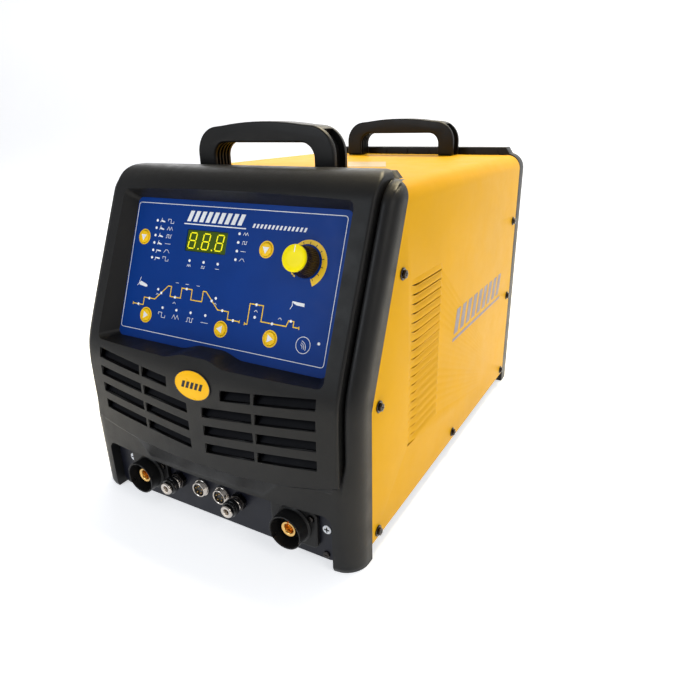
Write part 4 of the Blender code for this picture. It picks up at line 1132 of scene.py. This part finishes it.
def build_coupling(label, x):
    at = facing_front(x, SEAT_Y, CONNECTOR_Z)
    stem = [
        (0.0, -0.0180), (0.0050, -0.0180), (0.0050, 0.0002), (0.0056, 0.0002), (0.0056, 0.0060),
        (0.0070, 0.0062), (0.0074, 0.0068), (0.0074, 0.0090), (0.0070, 0.0096), (0.0056, 0.0098),
        (0.0056, 0.0186), (0.0062, 0.0188), (0.0066, 0.0192), (0.0066, 0.0206), (0.0063, 0.0211),
        (0.0059, 0.0217), (0.0053, 0.0218), (0.0042, 0.0216), (0.0034, 0.0213), (0.0031, 0.0208),
        (0.0030, 0.0140), (0.0, 0.0140),
    ]
    body = turned("coupling_stem_" + label, stem, NICKEL, at, 48)
    piece(body, "nickel", "coupling_body_" + label)
    nut = bmesh.new()
    add_prism(nut, hexagon(0.0091, 0.25), 0.0, 0.0056, at)
    ring = bake(bevel(link_mesh("coupling_nut_" + label, nut, DARK_STEEL), 0.0006, 3))
    piece(ring, "nickel")

    sleeve = [
        (0.0061, 0.0103, 0), (0.0079, 0.0103, 0), (0.0083, 0.0108, 0), (0.0084, 0.0114, 1),
        (0.0084, 0.0140, 1), (0.0083, 0.0146, 0), (0.0079, 0.0149, 0), (0.0079, 0.0154, 0),
        (0.0083, 0.0157, 0), (0.0084, 0.0162, 1), (0.0083, 0.0172, 1), (0.0079, 0.0178, 0),
        (0.0061, 0.0180, 0),
    ]
    knurled = ribbed_rings(sleeve, at, 120, 30, 0.00022, 1)
    sleeve = loft("sleeve_ring_" + label, knurled, BLACK_SMOOTH, 40.0, True)
    piece(sleeve, "black_plastic", "coupling_sleeve_" + label, body=label + "_sleeve")
    band = [(0.0078, 0.0149), (0.0082, 0.0150), (0.0082, 0.0153), (0.0078, 0.0154)]
    band = turned("sleeve_band_" + label, band, NICKEL, at, 48)
    piece(band, "nickel", body=label + "_sleeve")


def build_socket(label, x):
    at = facing_front(x, SEAT_Y, CONNECTOR_Z)
    shell = [(0.0, -0.0150), (0.0076, -0.0150), (0.0076, 0.0), (0.0080, 0.0)]
    for thread in range(5):
        shell += [(0.0080, 0.0030 + thread * 0.0008), (0.0077, 0.0034 + thread * 0.0008)]
    shell += [
        (0.0079, 0.0068), (0.0077, 0.0070), (0.0069, 0.0070), (0.0066, 0.0067), (0.0066, 0.0020),
        (0.0, 0.0020),
    ]
    piece(turned("socket_shell_" + label, shell, NICKEL, at, 56, 20.0), "nickel", "control_socket_" + label)
    nut = [
        (0.0081, 0.0001), (0.0090, 0.0001), (0.0091, 0.0004), (0.0091, 0.0025), (0.0088, 0.0028),
        (0.0081, 0.0028),
    ]
    piece(turned("socket_nut_" + label, nut, NICKEL, at, 48), "nickel")
    insert = [(0.0, 0.0019), (0.0064, 0.0019), (0.0064, 0.0042), (0.0061, 0.0045), (0.0, 0.0045)]
    piece(turned("socket_insert_" + label, insert, BLACK_SMOOTH, at, 40), "black_plastic")
    pins = bmesh.new()
    pin = [(0.0, 0.0040), (0.0006, 0.0040), (0.0006, 0.0061), (0.0003, 0.0065), (0.0, 0.0066)]
    for number in range(5):
        turn = math.radians(90 + 72 * number)
        seat = at @ Matrix.Translation((0.0040 * math.cos(turn), 0.0040 * math.sin(turn), 0.0))
        add_turned(pins, pin, 12, seat)
    piece(link_mesh("socket_pins_" + label, pins, BRASS), "brass")


def build_connectors():
    for label, x in zip(("minus", "plus"), DINSE_X):
        build_dinse(label, x)
    for label, x in zip(("left", "right"), COUPLING_X):
        build_coupling(label, x)
    for label, x in zip(("left", "right"), SOCKET_X):
        build_socket(label, x)
    marks = bmesh.new()
    discs = bmesh.new()
    face = SEAT_Y + 0.0003
    disc = [(0.0, -0.0001), (0.0044, -0.0001), (0.0044, 0.0003), (0.0041, 0.0005), (0.0, 0.0005)]
    for x, z, upright in ((0.1297, 0.0352, True), (-0.1191, 0.0391, False)):
        at = facing_front(x, face, z)
        add_turned(discs, disc, 40, at)
        add_box(marks, (-0.0026, -0.0006, 0.0004), (0.0026, 0.0006, 0.0008), at)
        if upright:
            add_box(marks, (-0.0006, -0.0026, 0.0004), (0.0006, 0.0026, 0.0008), at)
    piece(link_mesh("polarity_discs", discs, WHITE), "nickel")
    piece(link_mesh("polarity_marks", marks, DARK_PRINT), "black_plastic")
    screws = bmesh.new()
    cut = bmesh.new()
    head = [
        (0.0, -0.0001), (0.0036, -0.0001), (0.0036, 0.0010), (0.0030, 0.0017), (0.0012, 0.0020),
        (0.0, 0.0020),
    ]
    for x in (0.1286, -0.1286):
        at = facing_front(x, face, 0.0068)
        add_turned(screws, head, 32, at)
        add_box(cut, (-0.0019, -0.0004, 0.0011), (0.0019, 0.0004, 0.003), at)
    screws = link_mesh("panel_screws", screws, DARK_STEEL)
    boolean(screws, link_mesh("drive", cut, None))
    piece(bake(screws), "steel")


# ---- fasteners ----
SCREW_PLACES = (
    "front_upper", "front_middle", "front_lower", "bottom_middle", "rear_upper", "rear_middle", "rear_lower",
)
SCREW_PROFILE = [
    (0.0, -0.0080), (0.0024, -0.0080), (0.0024, 0.0002), (0.0055, 0.0003), (0.0056, 0.0010),
    (0.0050, 0.0015), (0.0, 0.0016),
]


def build_screws():
    """Flanged hexagon heads with a cross recess, seven on each side of the cover."""
    for side_name, side in (("left", -1), ("right", 1)):
        for number, place_name in enumerate(SCREW_PLACES):
            node = f"cover_screw_{side_name}_{place_name}"
            low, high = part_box(node)
            middle = (low + high) / 2
            place = Matrix.Translation((side * HALF_WIDTH, middle.y, middle.z))
            seat = place @ Matrix.Rotation(side * math.pi / 2, 4, "Y")
            spin = seat @ Matrix.Rotation(0.4 + 0.7 * number, 4, "Z")
            screw = turned(f"screw_{side_name}_{place_name}", SCREW_PROFILE, DARK_STEEL, spin, 36)
            head = bmesh.new()
            add_prism(head, hexagon(0.0040), 0.0012, 0.0039, spin)
            boolean(screw, bake(bevel(link_mesh("head", head, DARK_STEEL), 0.0005, 2)), "UNION")
            for half_x, half_y in ((0.0021, 0.0005), (0.0005, 0.0021)):
                cross = bmesh.new()
                add_box(cross, (-half_x, -half_y, 0.0022), (half_x, half_y, 0.0050), spin)
                boolean(screw, link_mesh("cross", cross, None))
            piece(bake(screw, 30.0), "dark_steel", node)


# ---- rear fittings ----
REAR_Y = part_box("rear_panel")[0].y
FAN_Z = 0.190
GUARD_RINGS = (0.0120, 0.0200, 0.0280, 0.0360, 0.0440, 0.0520)
BLADE_MIDDLE = 0.0168


def tube_ring(shape, radius, wire, height, at, sides=72, round_sides=10):
    """A wire bent into a full circle."""
    rings = []
    for step in range(sides):
        turn = 2 * math.pi * step / sides
        ring = []
        for part in range(round_sides):
            angle = 2 * math.pi * part / round_sides
            r = radius + wire * math.cos(angle)
            point = Vector((r * math.cos(turn), r * math.sin(turn), height + wire * math.sin(angle)))
            ring.append(shape.verts.new(at @ point))
        rings.append(ring)
    join_rings(shape, rings, True)


def build_fan():
    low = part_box("fan_guard")[0]
    at = facing_rear(0.0, low.y, FAN_Z)
    shape = bmesh.new()
    for radius in GUARD_RINGS:
        tube_ring(shape, radius, 0.00085, 0.0020, at)
    for turn in range(4):
        spoke = [(0.0, 0.0100), (0.0009, 0.0100), (0.0009, 0.0610), (0.0, 0.0610)]
        spin = at @ Matrix.Rotation(math.radians(45 + 90 * turn), 4, "Z")
        outward = Matrix.Translation((0, 0.0009, 0)) @ (spin @ Matrix.Rotation(math.pi / 2, 4, "Y"))
        add_turned(shape, spoke, 12, outward)
        eye = spin @ Matrix.Translation((0.0600, 0.0, 0.0))
        tube_ring(shape, 0.0026, 0.0008, 0.0012, eye, 24, 8)
    piece(link_mesh("guard_wires", shape, GALVANISED, 50.0), "steel", "fan_guard")

    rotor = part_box("fan_rotor")
    at = facing_rear(0.0, rotor[0].y - 0.0050, FAN_Z)
    shape = bmesh.new()
    hub = [
        (0.0, 0.0050), (0.0195, 0.0050), (0.0207, 0.0056), (0.0210, 0.0064), (0.0210, 0.0290),
        (0.0204, 0.0297), (0.0190, 0.0300), (0.0, 0.0300),
    ]
    add_turned(shape, hub, 48, at)
    count, along, chord = 7, 8, 8
    for number in range(count):
        spin = at @ Matrix.Rotation(2 * math.pi * number / count, 4, "Z")
        layers = []
        for lift in (0.0, 0.0013):
            grid = []
            for i in range(along + 1):
                radius = 0.0200 + 0.0338 * i / along
                pitch = math.radians(50 - 20 * i / along)
                width = 0.0210 + 0.0080 * i / along
                line = []
                for j in range(chord + 1):
                    t = j / chord - 0.5
                    camber = 0.0022 * (1 - 4 * t * t)
                    run = width * t * math.cos(pitch) - camber * math.sin(pitch)
                    rise = width * t * math.sin(pitch) + camber * math.cos(pitch) + lift
                    turn = run / radius
                    point = Vector((radius * math.cos(turn), radius * math.sin(turn), BLADE_MIDDLE + rise))
                    line.append(shape.verts.new(spin @ point))
                grid.append(line)
            layers.append(grid)
        join_sheets(shape, layers)
    piece(link_mesh("fan_impeller", shape, BLACK_SMOOTH, 40.0), "black_plastic", "fan_rotor", body="fan")


def build_rear_fittings():
    gland_at = facing_rear(-0.105, REAR_Y, 0.070)
    gland = [
        (0.0060, -0.0118, 0), (0.0103, -0.0118, 0), (0.0103, 0.0020, 0), (0.0148, 0.0020, 0),
        (0.0149, 0.0030, 1), (0.0149, 0.0108, 1), (0.0140, 0.0118, 0), (0.0128, 0.0122, 0),
        (0.0128, 0.0128, 0), (0.0133, 0.0132, 0), (0.0134, 0.0140, 1), (0.0134, 0.0245, 1),
        (0.0130, 0.0262, 0), (0.0120, 0.0286, 0), (0.0106, 0.0303, 0), (0.0096, 0.0309, 0),
        (0.0086, 0.0306, 0), (0.0074, 0.0294, 0), (0.0062, 0.0288, 0), (0.0060, 0.0280, 0),
    ]
    gland = ribbed_rings(gland, gland_at, 144, 18, 0.0007, 3)
    piece(loft("gland_body", gland, RUBBER, 35.0, True), "black_plastic", "cable_gland")

    inlet = [
        (0.0, -0.0400), (0.0055, -0.0400), (0.0055, 0.0019), (0.0058, 0.0019), (0.0060, 0.0180),
        (0.0066, 0.0186), (0.0071, 0.0192), (0.0068, 0.0210), (0.0052, 0.0240), (0.0066, 0.0245),
        (0.0067, 0.0252), (0.0051, 0.0300), (0.0064, 0.0305), (0.0065, 0.0312), (0.0048, 0.0400),
        (0.0044, 0.0409), (0.0030, 0.0409), (0.0026, 0.0404), (0.0026, 0.0150), (0.0, 0.0150),
    ]
    inlet_at = facing_rear(0.105, REAR_Y, 0.070)
    piece(turned("gas_hose_tail", inlet, BRASS, inlet_at, 48), "brass", "gas_inlet")
    shape = bmesh.new()
    add_prism(shape, hexagon(0.0099), 0.0020, 0.0100, inlet_at)
    piece(bake(bevel(link_mesh("gas_inlet_nut", shape, BRASS), 0.0007, 3)), "brass")

    at = facing_rear(-0.105, REAR_Y, 0.270)
    dial = [
        (0.0, 0.0003), (0.0040, 0.0003), (0.0040, 0.0020), (0.0194, 0.0020), (0.0200, 0.0026),
        (0.0200, 0.0062), (0.0196, 0.0074), (0.0186, 0.0083), (0.0, 0.0085),
    ]
    lever = turned("switch_dial", dial, BLACK_SMOOTH, at, 72)
    grip = prism("switch_grip", round_rect(0.0048, 0.0178, 0.0038, 6), 0.0060, 0.0229, BLACK_SMOOTH)
    grip = bake(bevel(move(grip, at), 0.0012, 3))
    boolean(lever, grip, "UNION")
    piece(bake(lever), "black_plastic", "mains_switch_lever", body="mains_switch")
    mark = bmesh.new()
    add_box(mark, (-0.0006, 0.0060, 0.0226), (0.0006, 0.0150, 0.02300), at)
    piece(link_mesh("switch_mark", mark, WHITE), "black_plastic", body="mains_switch")
    ring = bmesh.new()
    for number in range(2):
        turn = math.radians(90 - 90 * number)
        seat = Matrix.Translation((0.0250 * math.cos(turn), 0.0250 * math.sin(turn), 0.0016))
        add_box(ring, (-0.0006, -0.0018, 0.0), (0.0006, 0.0018, 0.0002), at @ seat)
    clear = at @ Matrix.Translation((0.0, 0.0, 0.0016))
    ribbon(ring, arc((0.0, 0.0), 0.0222, -10, 100, 24), 0.0005, clear, False, 0.0, 0.0002)
    piece(link_mesh("switch_scale", ring, WHITE), "black_sheet")

    shape = bmesh.new()
    for side_x in (-1, 1):
        for z in (0.040, 0.304):
            seat = facing_rear(side_x * 0.138, REAR_Y + SHEET, z)
            add_turned(
                shape,
                [(0.0, -0.0001), (0.0040, -0.0001), (0.0040, 0.0010), (0.0032, 0.0020), (0.0, 0.0022)], 32,
                seat,
            )
    piece(link_mesh("rear_panel_screws", shape, DARK_STEEL), "steel")


# ---- finish of the parts kept from the frame ----
KEPT = {
    "base_pan": SHEET_BLACK, "connector_panel": SHEET_BLACK, "rear_panel": SHEET_BLACK,
    "led_display": FERRITE, "current_encoder": GALVANISED, "control_board": BOARD,
    "power_board": BOARD, "fan_frame": BLACK_SMOOTH,
    "inverter_heatsink": ALUMINIUM, "rectifier_heatsink": ALUMINIUM, "transformer_core": FERRITE,
    "transformer_winding": COPPER, "output_choke": COPPER, "hf_ignition_unit": BLACK, "gas_valve": BRASS,
    "mains_switch_body": BLACK_SMOOTH,
}


def finish_kept_parts():
    for name, skin in KEPT.items():
        for holder in NODES[name].material_slots:
            holder.material = skin


build_front_bezel()
build_cover()
build_side_band()
build_rear_bezel()
for handle in ("front_handle", "rear_handle"):
    build_handle(handle)
build_panel()
build_display()
build_buttons()
build_knob()
build_badge()
build_connectors()
build_screws()
build_fan()
build_rear_fittings()
finish_kept_parts()


# ---- stage ----
def build_stage():
    floor = bmesh.new()
    size = 6.0
    # the floor sweeps up behind the machine as one curved sheet
    turns = [t * math.pi / 24 for t in range(13)]
    sweep = [(2.0 + 1.2 * math.sin(turn), 1.2 - 1.2 * math.cos(turn)) for turn in turns]
    profile = [(-size, 0.0)] + sweep + [(3.2, 5.0)]
    rows = [[floor.verts.new((side * size, y, z - 0.0002)) for y, z in profile] for side in (-1, 1)]
    for index in range(len(profile) - 1):
        floor.faces.new((rows[0][index], rows[1][index], rows[1][index + 1], rows[0][index + 1]))
    sheet = Nodes("studio_sheet")
    sheet.wire(
        Base_Color=sheet.ramp(
            sheet.noise(1.5, 3.0), [(0.3, (0.86, 0.87, 0.885)), (0.7, (0.89, 0.895, 0.905))],
        ),
        Roughness=sheet.spread(sheet.noise(8.0, 3.0), 0.50, 0.60),
    )
    sheet.set(Specular_IOR_Level=0.2, Emission_Color=(0.97, 0.98, 1.0, 1.0), Emission_Strength=0.56)
    made = link_mesh("studio_floor", floor, sheet.material)

    world = bpy.data.worlds.new("studio")
    bpy.context.scene.world = world
    world.use_nodes = True
    world.node_tree.nodes["Background"].inputs["Color"].default_value = (0.96, 0.97, 1.0, 1.0)
    world.node_tree.nodes["Background"].inputs["Strength"].default_value = 0.34


def light(name, size, power, place, target, colour=(1.0, 1.0, 1.0)):
    lamp = bpy.data.lights.new(name, "AREA")
    lamp.energy = power
    lamp.color = colour
    lamp.shape = "RECTANGLE"
    lamp.size = size
    lamp.size_y = size
    made = bpy.data.objects.new(name, lamp)
    bpy.context.scene.collection.objects.link(made)
    made.location = place
    made.rotation_euler = (Vector(target) - Vector(place)).to_track_quat("-Z", "Y").to_euler()
    return made


def build_lights():
    middle = (0.0, 0.0, 0.18)
    light("key", 1.0, 9.5, (1.9, -0.7, 1.4), middle, (1.0, 0.97, 0.92))
    light("front_fill", 0.9, 12.0, (-0.78, -1.95, 1.24), middle, (0.86, 0.93, 1.0))
    light("top_warm", 0.9, 46.0, (0.1, 0.8, 1.8), middle, (1.0, 0.86, 0.56))
    light("rear_fill", 1.5, 8.0, (-1.4, 1.7, 1.3), middle)


CAMERA_PLACE = (0.3574, COVER_FRONT - 0.3739, 0.3792)
CAMERA_YAW, CAMERA_PITCH, CAMERA_ROLL = 29.553, 21.944, -1.134
CAMERA_LENS = 29.376


def build_camera():
    yaw, pitch, roll = (math.radians(angle) for angle in (CAMERA_YAW, CAMERA_PITCH, CAMERA_ROLL))
    ahead = Vector((-math.sin(yaw) * math.cos(pitch), math.cos(yaw) * math.cos(pitch), -math.sin(pitch)))
    level = Vector((math.cos(yaw), math.sin(yaw), 0.0))
    up = level.cross(ahead)
    right = math.cos(roll) * level + math.sin(roll) * up
    above = math.cos(roll) * up - math.sin(roll) * level
    data = bpy.data.cameras.new("camera")
    data.sensor_width = 36.0
    data.lens = CAMERA_LENS
    data.clip_start = 0.01
    made = bpy.data.objects.new("camera", data)
    bpy.context.scene.collection.objects.link(made)
    matrix = Matrix((right, above, -ahead)).transposed().to_4x4()
    matrix.translation = CAMERA_PLACE
    made.matrix_world = matrix
    bpy.context.scene.camera = made


build_stage()
build_lights()
build_camera()
bpy.context.scene.view_settings.view_transform = "Standard"
